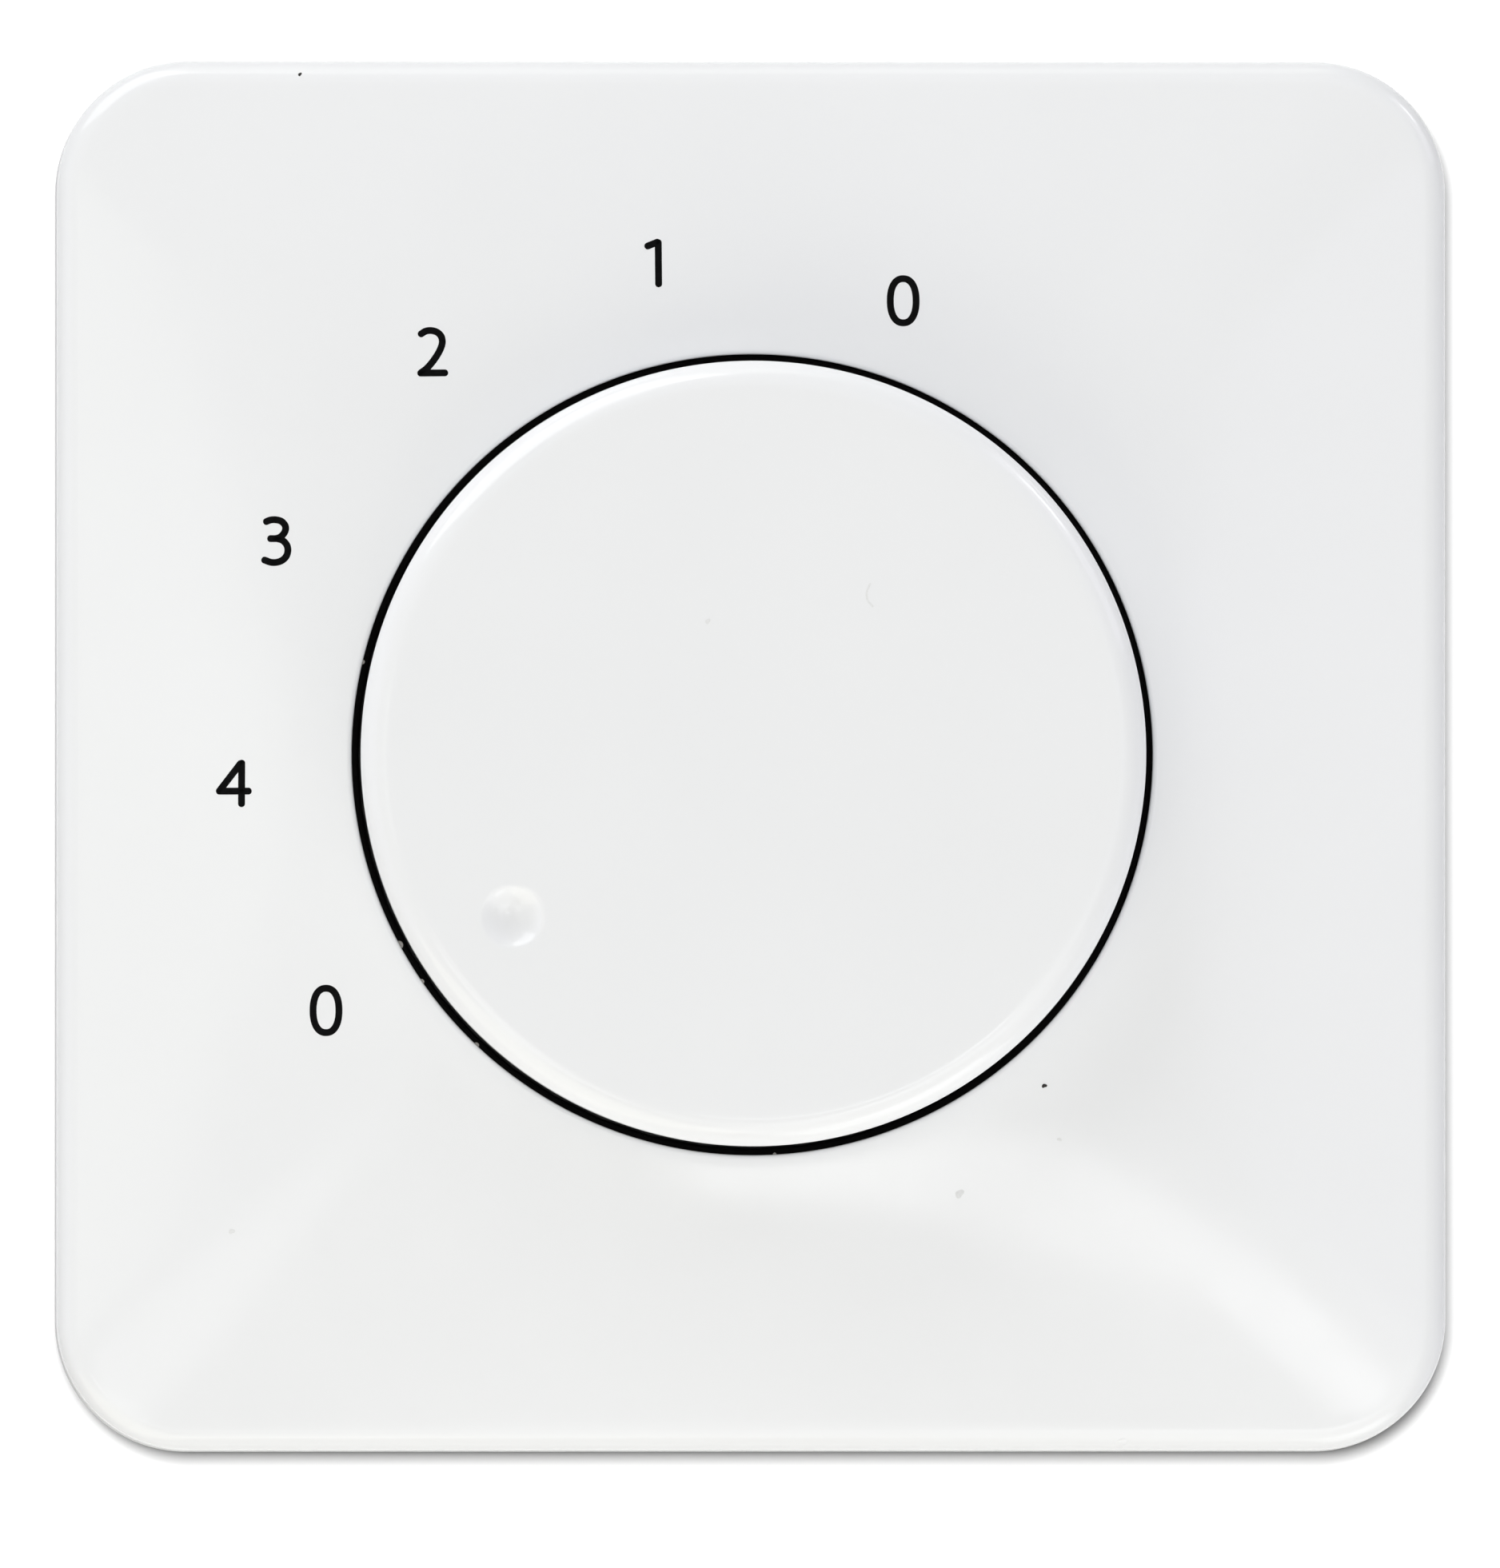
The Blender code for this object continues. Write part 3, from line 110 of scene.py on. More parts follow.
def tint(tree, factor, low, high, start=0.35, end=0.65):
    # a colour that runs from one hex value to another
    ramp = addNode(tree, "ShaderNodeValToRGB", links={"Fac": factor})
    ramp.color_ramp.elements[0].position = start
    ramp.color_ramp.elements[1].position = end
    ramp.color_ramp.elements[0].color = hexColour(low)
    ramp.color_ramp.elements[1].color = hexColour(high)
    return ramp.outputs["Color"]


def feed(tree, shader, colour=None, roughness=None, height=None, relief=0.0):
    # relief is the height of the bumps in metres
    if colour is not None:
        tree.links.new(colour, shader.inputs["Base Color"])
    if roughness is not None:
        tree.links.new(roughness, shader.inputs["Roughness"])
    if height is not None:
        bump = addNode(tree, "ShaderNodeBump", {"Distance": relief, "Strength": 1.0}, {"Height": height})
        tree.links.new(bump.outputs["Normal"], shader.inputs["Normal"])


def reckon(tree, operation, first, second):
    # A sum, product or test of two values; each is a plain number or another node's output.
    settings = {"operation": operation}
    links = {}
    for key, value in enumerate((first, second)):
        chosen = settings if isinstance(value, (int, float)) else links
        chosen[key] = value
    return addNode(tree, "ShaderNodeMath", settings, links).outputs[0]


def blendColours(tree, share, low, high):
    # from the low colour, a node's output, to the high one, a hex value
    settings = {"data_type": "RGBA", 7: hexColour(high)}
    return addNode(tree, "ShaderNodeMix", settings, {0: share, 6: low}).outputs[2]


def seenRays(tree):
    # 1 for rays from the camera, off a gloss or through glass: they see the white studio itself
    rays = addNode(tree, "ShaderNodeLightPath").outputs
    either = reckon(tree, "MAXIMUM", rays["Is Camera Ray"], rays["Is Glossy Ray"])
    return reckon(tree, "MAXIMUM", either, rays["Is Transmission Ray"])


# Finishes

# Bounds of the painted shade that turns the ring gap's walls near black
paintedGapShadeBounds = {"outer": 23.25 * mm, "inner": 22.0 * mm, "top": 10.42 * mm, "fade": 0.35 * mm}
# The plate's sides: bounds of their painted shade and of their matt texture, and its roughness
sideMattAndPaintedShade = {"top": 6.9 * mm, "fade": 0.3 * mm, "rough": 0.7}


def paintedGapShade(tree, place):
    # 1 on the two walls that face each other across the ring gap, below the plate's lip, where painted
    # shade turns them near black.
    parts = addNode(tree, "ShaderNodeSeparateXYZ", links={0: place}).outputs
    flat = addNode(tree, "ShaderNodeCombineXYZ", links={0: parts["X"], 2: parts["Z"]})
    length = addNode(tree, "ShaderNodeVectorMath", {"operation": "LENGTH"}, {0: flat.outputs[0]})
    radius = length.outputs["Value"]
    outside = reckon(tree, "GREATER_THAN", radius, paintedGapShadeBounds["outer"])
    inside = reckon(tree, "LESS_THAN", radius, paintedGapShadeBounds["inner"])
    elsewhere = reckon(tree, "MAXIMUM", outside, inside)
    deep = between(tree, parts["Y"], 0.0, 1.0, -paintedGapShadeBounds["top"], paintedGapShadeBounds["fade"] - paintedGapShadeBounds["top"])
    return reckon(tree, "MAXIMUM", reckon(tree, "SUBTRACT", deep, elsewhere), 0.0)


def onSides(tree, place):
    # 1 on the plate's outer sides, below the rounded edge, which are made matt and painted a little
    # darker as shade
    parts = addNode(tree, "ShaderNodeSeparateXYZ", links={0: place}).outputs
    return between(tree, parts["Y"], 0.0, 1.0, -sideMattAndPaintedShade["top"], sideMattAndPaintedShade["fade"] - sideMattAndPaintedShade["top"])


def whiteUrea():
    # Urea moulding, pressed in a polished mould: hard gloss, with a faint waviness and haze. The plate's
    # sides keep the mould's matt texture and are painted a little darker as shade. Painted shade
    # turns the ring gap's walls near black.
    finish, tree, shader, place = startFinish("white_urea", {"IOR": 1.5})
    clean = tint(tree, spots(tree, place, 14 * mm), "eff0f2", "f0f1f3")
    side = onSides(tree, place)
    # painted shade: the plate's sides a little darker than the face
    plate = blendColours(tree, side, clean, "e4e5e6")
    # painted shade: the ring gap's walls near black
    colour = blendColours(tree, paintedGapShade(tree, place), plate, "0c0807")
    gloss = between(tree, spots(tree, place, 3 * mm), 0.09, 0.13)
    rough = addNode(
        tree, "ShaderNodeMix", {"data_type": "FLOAT", 3: sideMattAndPaintedShade["rough"]}, {0: side, 2: gloss}
    )
    feed(tree, shader, colour, rough.outputs[0], spots(tree, place, 2.5 * mm), 0.0003 * mm)
    return finish


def blackPhenolic():
    # Black phenolic moulding: dull, with a fine grain from its filler.
    finish, tree, shader, place = startFinish("black_phenolic", {"IOR": 1.55})
    colour = tint(tree, spots(tree, place, 2 * mm), "070707", "0d0c0c")
    rough = between(tree, spots(tree, place, 0.8 * mm), 0.5, 0.62)
    feed(tree, shader, colour, rough, spots(tree, place, 0.25 * mm, 3), 0.004 * mm)
    return finish


def greyThermoset():
    # Grey thermoset moulding for the insulating body: matt, with pale filler specks.
    finish, tree, shader, place = startFinish("grey_thermoset", {"IOR": 1.55})
    clouds = tint(tree, spots(tree, place, 6 * mm), "8b8e90", "95989a")
    grains = spots(tree, place, 0.22 * mm, 1)
    colour = blendColours(tree, between(tree, grains, 0.0, 0.55, 0.62, 0.72), clouds, "b6b8b8")
    rough = between(tree, spots(tree, place, 1.2 * mm), 0.5, 0.64)
    feed(tree, shader, colour, rough, spots(tree, place, 0.3 * mm, 3), 0.005 * mm)
    return finish


def naturalPolyamide():
    # Natural polyamide moulding: creamy, a little waxy.
    settings = {"IOR": 1.53, "Subsurface Weight": 0.15, "Subsurface Scale": 0.5 * mm}
    finish, tree, shader, place = startFinish("natural_polyamide", settings)
    colour = tint(tree, spots(tree, place, 4 * mm), "dcd7c6", "e5e1d2")
    rough = between(tree, spots(tree, place, 1 * mm), 0.36, 0.46)
    feed(tree, shader, colour, rough, spots(tree, place, 0.5 * mm), 0.002 * mm)
    return finish


def zincPlate():
    # Zinc plated sheet steel: grey with a cold passivated tint, and the sheet's rolling lines.
    finish, tree, shader, place = startFinish("zinc_plate", {"Metallic": 1.0})
    colour = tint(tree, spots(tree, place, 7 * mm, 3), "b4b9c0", "c9cac6")
    lines = spots(tree, place, 0.35 * mm, 3, (0.04, 1, 1))
    rough = between(tree, lines, 0.27, 0.42)
    feed(tree, shader, colour, rough, lines, 0.0015 * mm)
    return finish


def springSteel():
    # Bare hardened spring steel: darker, with a brown cast from tempering.
    finish, tree, shader, place = startFinish("spring_steel_bare", {"Metallic": 1.0})
    colour = tint(tree, spots(tree, place, 3 * mm, 3), "8b8783", "a09d9b")
    rough = between(tree, spots(tree, place, 0.3 * mm), 0.28, 0.4)
    feed(tree, shader, colour, rough, spots(tree, place, 0.2 * mm), 0.001 * mm)
    return finish


def turnedBrass():
    # Turned and stamped brass, a little tarnished.
    finish, tree, shader, place = startFinish("worked_brass", {"Metallic": 1.0})
    colour = tint(tree, spots(tree, place, 4 * mm, 4), "c8a14f", "dcb866")
    rough = between(tree, spots(tree, place, 0.4 * mm), 0.24, 0.38)
    feed(tree, shader, colour, rough, spots(tree, place, 0.25 * mm), 0.0012 * mm)
    return finish


def stampedBronze():
    # Stamped phosphor bronze, redder than the brass.
    finish, tree, shader, place = startFinish("stamped_bronze", {"Metallic": 1.0})
    colour = tint(tree, spots(tree, place, 3 * mm, 4), "b9774a", "cf9062")
    rough = between(tree, spots(tree, place, 0.3 * mm), 0.26, 0.36)
    feed(tree, shader, colour, rough)
    return finish


def numeralInk():
    # Hot stamped black print: a matt film, a little uneven at a close look.
    finish, tree, shader, place = startFinish("numeral_ink", {"IOR": 1.45, "Specular IOR Level": 0.05})
    colour = tint(tree, spots(tree, place, 0.4 * mm), "030303", "0a0a0b")
    rough = between(tree, spots(tree, place, 0.3 * mm), 0.42, 0.55)
    feed(tree, shader, colour, rough)
    return finish


def caughtDirt(name, low, high):
    # Dirt caught on the surface: dull grains and smudges.
    finish, tree, shader, place = startFinish(name, {"IOR": 1.45})
    colour = tint(tree, spots(tree, place, 0.1 * mm), low, high)
    rough = between(tree, spots(tree, place, 0.08 * mm), 0.7, 0.9)
    feed(tree, shader, colour, rough)
    return finish


finishes = {
    "white_moulding": whiteUrea(),
    "black_moulding": blackPhenolic(),
    "grey_moulding": greyThermoset(),
    "nylon": naturalPolyamide(),
    "zinc_steel": zincPlate(),
    "spring_steel": springSteel(),
    "brass": turnedBrass(),
    "bronze": stampedBronze(),
}
ink = numeralInk()
blackGrain = caughtDirt("black_grain", "171412", "2a2522")
faintSmudge = caughtDirt("faint_smudge", "e0e1e2", "e6e7e8")
greyLint = caughtDirt("grey_lint", "8f8c88", "a5a29d")
print("finishes ready:", len(finishes) + 4)


# Grid surfaces. Points are (right, up, out of the wall) and become (right, -out, up) in the world

mergeWithin = {"skin": 0.0002 * mm, "solid": 0.001 * mm}


def skin(grid, loop=False, capEnds=False):
    # Faces over a grid of rings whose columns close; loop joins the last ring to the first.
    rings, columns = grid.shape[:2]
    index = np.arange(rings * columns).reshape(rings, columns)
    after = np.roll(index, -1, axis=1)
    if loop:
        a, b, c, d = index, np.roll(index, -1, axis=0), np.roll(after, -1, axis=0), after
    else:
        a, b, c, d = index[:-1], index[1:], after[1:], after[:-1]
    quads = np.stack([a, b, c, d], axis=-1).reshape(-1, 4)
    points = grid.reshape(-1, 3)
    middle = points.mean(axis=0) if capEnds else 0      # the caps aren't in the sum below
    corners = points[quads] - middle
    crosses = np.cross(corners[:, 2] - corners[:, 0], corners[:, 3] - corners[:, 1])
    volume = (corners.mean(axis=1) * crosses).sum()
    faces = quads.tolist()
    if capEnds:
        faces += [index[0].tolist(), index[-1][::-1].tolist()]
    if volume < 0:
        faces = [face[::-1] for face in faces]
    world = np.stack([points[:, 0], -points[:, 2], points[:, 1]], axis=-1)
    return world, faces


def addPiece(name, skins, finish, body, sharp=35):
    # One mesh from several closed skins, merged at poles, on a body and with its finish.
    points = []
    faces = []
    for world, skinFaces in skins:
        start = len(points)
        points += world.tolist()
        faces += [[start + k for k in face] for face in skinFaces]
    mesh = bpy.data.meshes.new(name)
    mesh.from_pydata(points, [], faces)
    shape = bmesh.new()
    shape.from_mesh(mesh)
    bmesh.ops.remove_doubles(shape, verts=shape.verts, dist=mergeWithin["skin"])
    shape.to_mesh(mesh)
    shape.free()
    mesh.shade_smooth()
    mesh.set_sharp_from_angle(angle=math.radians(sharp))
    mesh.materials.append(finish)
    piece = bpy.data.objects.new(name, mesh)
    bpy.context.scene.collection.objects.link(piece)
    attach(piece, body)
    return piece


def ringAt(radius, level, angles):
    radius = np.broadcast_to(radius, angles.shape)
    level = np.broadcast_to(level, angles.shape)
    return np.stack([radius * np.cos(angles), radius * np.sin(angles), level], axis=-1)


def squareReach(half, corner, angles):
    # Distance from the middle to a rounded square's edge: along the side it is half over the
    # cosine, and past the side's end it is where the ray meets the corner's circle.
    across = np.abs(np.cos(angles))
    along = np.abs(np.sin(angles))
    straight = half - corner
    flat = half / np.maximum(across, along)
    total = (across + along) * straight
    root = np.sqrt(np.maximum(total ** 2 - 2 * straight ** 2 + corner ** 2, 0))
    bent = flat * np.minimum(across, along) > straight
    return np.where(bent, total + root, flat)


def bar(start, end, width, low, high):
    # A straight bar of square section from one plan point to another.
    start = np.array(start)
    end = np.array(end)
    along = (end - start) / np.linalg.norm(end - start)
    side = np.array([-along[1], along[0]]) * width / 2
    plan = [start - side, start + side, end + side, end - side]
    rings = [[(*p, level) for p in plan] for level in (low, high)]
    return skin(np.array(rings), capEnds=True)


# Cover plate

cover = {
    "half": 40 * mm, "corner": 7.5 * mm, "draft": 0.15 * mm, "edge": 1.3 * mm,
    "height": 10.5 * mm, "drop": 2.2 * mm, "curve": 1.25,
    "well": 22.93 * mm, "lip": 0.3 * mm, "wellWall": 1.8 * mm,
    "wall": 2.0 * mm, "flange": 6.0 * mm, "flangeLow": 4.6 * mm, "flangeHigh": 6.1 * mm,
    "foot": 0.15 * mm, "rib": 1.2 * mm, "ribRoot": 0.7,
    "columns": 960, "faceRings": 40, "bendRings": 12, "backRings": 8, "probe": 0.001,
}


def coverBorder():
    # Half width and corner radius of the line where the face ends and the rounded edge starts.
    return cover["half"] - cover["draft"] - cover["edge"], cover["corner"] - cover["edge"]


def faceLevel(share):
    # The face falls from the well by the drop times a power of the share of the way out.
    return cover["height"] - cover["drop"] * np.maximum(share, 0) ** cover["curve"]


def borderTilt(angles):
    # Tilt of the face where it meets the edge: its fall along the ray from the middle, steeper by
    # the slant at which that ray meets the border.
    half, corner = coverBorder()
    reach = squareReach(half, corner, angles)
    ahead = squareReach(half, corner, angles + cover["probe"])
    behind = squareReach(half, corner, angles - cover["probe"])
    slant = np.hypot(reach, (ahead - behind) / (2 * cover["probe"])) / reach
    fall = cover["drop"] * cover["curve"] / (reach - cover["well"] - cover["lip"])
    return np.arctan(fall * slant)


def edgeArc(tilt, sine):
    # Distance out and drop along the rounded edge: an arc from the face's tilt to upright, scaled
    # so that it always reaches the same way out.
    cosine = np.sqrt(np.maximum(1 - sine ** 2, 0))
    scale = cover["edge"] / (1 - np.sin(tilt))
    return scale * (sine - np.sin(tilt)), scale * (np.cos(tilt) - cosine)


def coverLevel(x, y):
    # Height of the plate over a plan point: the face by its share of the way from the well to
    # the border, less the drop of the rounded edge past the border.
    half, corner = coverBorder()
    angle = np.arctan2(y, x)
    inner = cover["well"] + cover["lip"]
    share = (np.hypot(x, y) - inner) / (squareReach(half, corner, angle) - inner)
    pastX = np.maximum(np.abs(x) - (half - corner), 0)
    pastY = np.maximum(np.abs(y) - (half - corner), 0)
    out = np.clip(np.hypot(pastX, pastY) - corner, 0, cover["edge"])
    tilt = borderTilt(angle)
    sine = np.sin(tilt) + out / cover["edge"] * (1 - np.sin(tilt))
    return faceLevel(np.minimum(share, 1)) - edgeArc(tilt, sine)[1]


def coverSkin():
    # A closed wall: well lip, pillow face from circle to rounded square, edge, side, foot,
    # underside, and back along the well's flange.
    c = cover
    angles = np.linspace(0, 2 * math.pi, c["columns"], endpoint=False)
    half, corner = coverBorder()
    rings = []
    for bend in np.linspace(0, math.pi / 2, c["bendRings"]):
        radius = c["well"] + c["lip"] * (1 - math.cos(bend))
        rings.append(ringAt(radius, c["height"] - c["lip"] * (1 - math.sin(bend)), angles))
    for share in np.linspace(0, 1, c["faceRings"])[1:]:
        reach = squareReach(half, corner, angles)
        radius = c["well"] + c["lip"] + (reach - c["well"] - c["lip"]) * share
        rings.append(ringAt(radius, faceLevel(share), angles))
    tilt = borderTilt(angles)
    for share in np.linspace(0, 1, c["bendRings"])[1:]:
        out, drop = edgeArc(tilt, np.sin(tilt + (math.pi / 2 - tilt) * share))
        reach = squareReach(half + out, corner + out, angles)
        rings.append(ringAt(reach, faceLevel(1) - drop, angles))
    innerHalf = c["half"] - c["wall"]
    innerCorner = c["corner"] - c["wall"]
    foot = c["foot"]                                    # the mould's parting edge isn't quite sharp
    rings.append(ringAt(squareReach(c["half"], c["corner"], angles), foot, angles))
    rings.append(ringAt(squareReach(c["half"] - foot, c["corner"] - foot, angles), 0, angles))
    rings.append(ringAt(squareReach(innerHalf, innerCorner, angles), 0, angles))
    under = squareReach(innerHalf - c["draft"], innerCorner, angles)
    wellOuter = c["well"] + c["wellWall"]
    for share in np.linspace(1, 0, c["backRings"]):
        reach = wellOuter + (under - wellOuter) * share
        rings.append(ringAt(reach, faceLevel(share) - c["wall"], angles))
    rings.append(ringAt(wellOuter, c["flangeLow"], angles))
    rings.append(ringAt(c["well"] - c["flange"], c["flangeLow"], angles))
    rings.append(ringAt(c["well"] - c["flange"], c["flangeHigh"], angles))
    rings.append(ringAt(c["well"], c["flangeHigh"], angles))
    return skin(np.array(rings), loop=True)


def coverRibs():
    # Four ribs behind the face, from the well out to the corners, their roots sunk in the wall.
    c = cover
    start = c["well"] + c["wellWall"] / 2
    end = (c["half"] - c["corner"]) * math.sqrt(2) + c["corner"] - c["wall"]
    shares = np.linspace(0, 1, c["backRings"])
    reach = start + (end - start) * shares
    top = faceLevel(shares) - c["wall"] * c["ribRoot"]
    low = np.full(c["backRings"], c["flangeLow"])
    ribs = []
    for quarter in range(4):
        angle = math.pi / 4 + math.pi / 2 * quarter
        out = np.array([math.cos(angle), math.sin(angle)])
        side = np.array([-out[1], out[0]]) * c["rib"] / 2
        plan = reach[:, None] * out
        rings = [
            np.column_stack([plan - side, low]),
            np.column_stack([plan + side, low]),
            np.column_stack([plan + side, top]),
            np.column_stack([plan - side, top]),
        ]
        ribs.append(skin(np.array(rings).transpose(1, 0, 2), capEnds=True))
    return ribs


coverPiece = addPiece(
    "cover_plate_moulding", [coverSkin(), *coverRibs()], finishes["white_moulding"],
    "switch",
)
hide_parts("cover_plate")
print("cover plate:", len(coverPiece.data.polygons), "faces")


# Knob

knob = {
    "radius": 22.43 * mm, "top": 16.5 * mm, "dome": 0.3 * mm, "domePower": 2.5,
    "rim": 1.6 * mm, "bottom": 8.4 * mm, "edge": 0.15 * mm, "wall": 2.0 * mm, "ceiling": 14.0 * mm,
    "hub": 5.5 * mm, "hubLow": 10.6 * mm, "slit": 1.0 * mm, "slitGap": 0.3 * mm,
    "bore": 3.3 * mm, "flat": 2.1 * mm, "root": 0.5 * mm,
    "ribWidth": 1.0 * mm, "ribDepth": 1.4 * mm, "ribs": 3, "ribStart": 0.96,
    "pointer": math.radians(213), "dimpleTurn": math.radians(214.2), "dimpleOrbit": 16.7 * mm,
    "dimple": 1.75 * mm, "dimpleDepth": 0.62 * mm, "dimpleLip": 0.3 * mm, "dimpleField": 1.5,
    "columns": 420, "topRings": 96, "rimRings": 14, "hubColumns": 96, "halfRings": 25,
    "turnSpread": 0.11, "turnBoost": 5, "ringSpread": 1.9 * mm, "ringBoost": 4, "fineSteps": 4001,
}


def crowded(start, end, count, middle, spread, boost):
    # Positions from start to end that crowd together round a middle: equal steps of the summed
    # density, which is 1 plus a bell of height boost.
    fine = np.linspace(start, end, knob["fineSteps"])
    density = 1 + boost * np.exp(-((fine - middle) / spread) ** 2)
    total = np.concatenate([[0], np.cumsum((density[1:] + density[:-1]) / 2)])
    return np.interp(np.linspace(0, total[-1], count), total, fine)


def knobTop(x, y):
    # Height of the knob's top: a shallow dome, less the pointer dimple. The dimple is a part of
    # a ball, and its edge blends in by a soft minimum over the lip's width.
    k = knob
    flat = k["radius"] - k["rim"]
    level = k["top"] - k["dome"] * (np.hypot(x, y) / flat) ** k["domePower"]
    ball = (k["dimple"] ** 2 + k["dimpleDepth"] ** 2) / (2 * k["dimpleDepth"])
    across = x - k["dimpleOrbit"] * math.cos(k["dimpleTurn"])
    along = y - k["dimpleOrbit"] * math.sin(k["dimpleTurn"])
    away = np.hypot(across, along)
    surface = k["top"] - k["dome"] * (k["dimpleOrbit"] / flat) ** k["domePower"]
    bowl = surface + ball - k["dimpleDepth"] - np.sqrt(np.maximum(ball ** 2 - away ** 2, 0))
    soft = k["dimpleLip"] * k["dimpleDepth"] / k["dimple"]
    blend = np.clip(0.5 + (bowl - level) / (2 * soft), 0, 1)
    dipped = bowl * (1 - blend) + level * blend - soft * blend * (1 - blend)
    return np.where(away < k["dimpleField"] * k["dimple"], dipped, level)


def knobSkin():
    # A closed cup turned about the axis: top, rim arc, side, bottom edge, inner wall, ceiling. Its
    # rings and columns crowd together round the dimple.
    k = knob
    flat = k["radius"] - k["rim"]
    turns = crowded(-math.pi, math.pi, k["columns"] + 1, 0, k["turnSpread"], k["turnBoost"])
    angles = k["dimpleTurn"] + turns[:-1]
    radii = crowded(0, flat, k["topRings"], k["dimpleOrbit"], k["ringSpread"], k["ringBoost"])
    radii[0] = 0
    across = radii[:, None] * np.cos(angles)
    along = radii[:, None] * np.sin(angles)
    rings = list(np.stack([across, along, knobTop(across, along)], axis=-1))
    tilt = math.atan(k["domePower"] * k["dome"] / flat)
    scale = k["rim"] / (1 - math.sin(tilt))
    for bend in np.linspace(tilt, math.pi / 2, k["rimRings"])[1:]:
        radius = flat + scale * (math.sin(bend) - math.sin(tilt))
        level = k["top"] - k["dome"] - scale * (math.cos(tilt) - math.cos(bend))
        rings.append(ringAt(radius, level, angles))
    inner = k["radius"] - k["wall"]
    edge = k["edge"]
    rings.append(ringAt(k["radius"], k["bottom"] + edge, angles))
    rings.append(ringAt(k["radius"] - edge, k["bottom"], angles))
    rings.append(ringAt(inner + edge, k["bottom"], angles))
    rings.append(ringAt(inner, k["bottom"] + edge, angles))
    rings.append(ringAt(inner, k["ceiling"], angles))
    rings.append(ringAt(0, k["ceiling"], angles))
    return skin(np.array(rings))


def boreReach(angles):
    # Radius of the bore at an angle: its circle, or the chord of its flat where that is nearer.
    turn = np.cos(angles - knob["pointer"])
    facing = turn > knob["flat"] / knob["bore"]
    return np.where(facing, knob["flat"] / np.where(facing, turn, 1), knob["bore"])


def hubSkins():
    # The hub: two halves with the slit between them, and above the slit a whole ring.
    k = knob
    slitTop = k["ceiling"] - k["ribDepth"] - k["slitGap"]
    rootLevel = k["ceiling"] + k["root"]
    skins = []
    for half in (0, math.pi):
        rings = []
        for t in np.linspace(0, 1, k["halfRings"]):
            ends = [math.asin(k["slit"] / 2 / r) for r in (k["hub"], k["bore"])]
            spans = [half - math.pi / 2 + e + (math.pi - 2 * e) * t for e in ends]
            outer = k["pointer"] + spans[0]
            inner = k["pointer"] + spans[1]
            reach = float(boreReach(np.array([inner]))[0])
            far = (k["hub"] * math.cos(outer), k["hub"] * math.sin(outer))
            near = (reach * math.cos(inner), reach * math.sin(inner))
            rings.append([(*far, k["hubLow"]), (*far, slitTop), (*near, slitTop), (*near, k["hubLow"])])
        skins.append(skin(np.array(rings), capEnds=True))
    angles = np.linspace(0, 2 * math.pi, k["hubColumns"], endpoint=False)
    reach = boreReach(angles)
    rings = [
        ringAt(k["hub"], slitTop, angles), ringAt(k["hub"], rootLevel, angles),
        ringAt(reach, rootLevel, angles), ringAt(reach, slitTop, angles),
    ]
    skins.append(skin(np.array(rings), loop=True))
    return skins


def knobRibs():
    # Ribs under the ceiling, from the hub to the wall; their ends and roots are sunk in these.
    k = knob
    near = k["hub"] * k["ribStart"]
    far = k["radius"] - k["wall"] / 2
    low = k["ceiling"] - k["ribDepth"]
    high = k["ceiling"] + k["root"]
    angles = [math.pi / k["ribs"] * n for n in range(2 * k["ribs"])]
    return [
        bar(
            (near * math.cos(a), near * math.sin(a)), (far * math.cos(a), far * math.sin(a)),
            k["ribWidth"], low, high,
        )
        for a in angles
    ]


knobPiece = addPiece(
    "knob_moulding", [knobSkin(), *hubSkins(), *knobRibs()], finishes["white_moulding"],
    "turning_knob",
)
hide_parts("knob")
print("knob:", len(knobPiece.data.polygons), "faces")


# Printed numerals. Each stroke is a list of plan points in mm round the numeral's middle

numerals = {
    "stroke": 0.4 * mm, "film": 0.012 * mm, "step": 0.03 * mm, "leastSteps": 8, "cubicSteps": 12,
    "ovalHalfWidth": 0.74, "ovalHalfHeight": 1.27, "ovalPower": 0.88, "ovalSteps": 73,
    "places": [
        ("0", 8.65, 26.01), ("1", -5.60, 28.17), ("2", -18.33, 23.05),
        ("3", -27.24, 12.20), ("4", -29.67, -1.64), ("0", -24.40, -14.65),
    ],
}


def ovalPath():
    # An oval whose cosine and sine are taken to a power under 1, which makes its shoulders fuller.
    angles = np.linspace(0, 2 * math.pi, numerals["ovalSteps"])
    across = np.sign(np.cos(angles)) * np.abs(np.cos(angles)) ** numerals["ovalPower"]
    along = np.sign(np.sin(angles)) * np.abs(np.sin(angles)) ** numerals["ovalPower"]
    return np.stack([numerals["ovalHalfWidth"] * across, numerals["ovalHalfHeight"] * along], axis=-1)


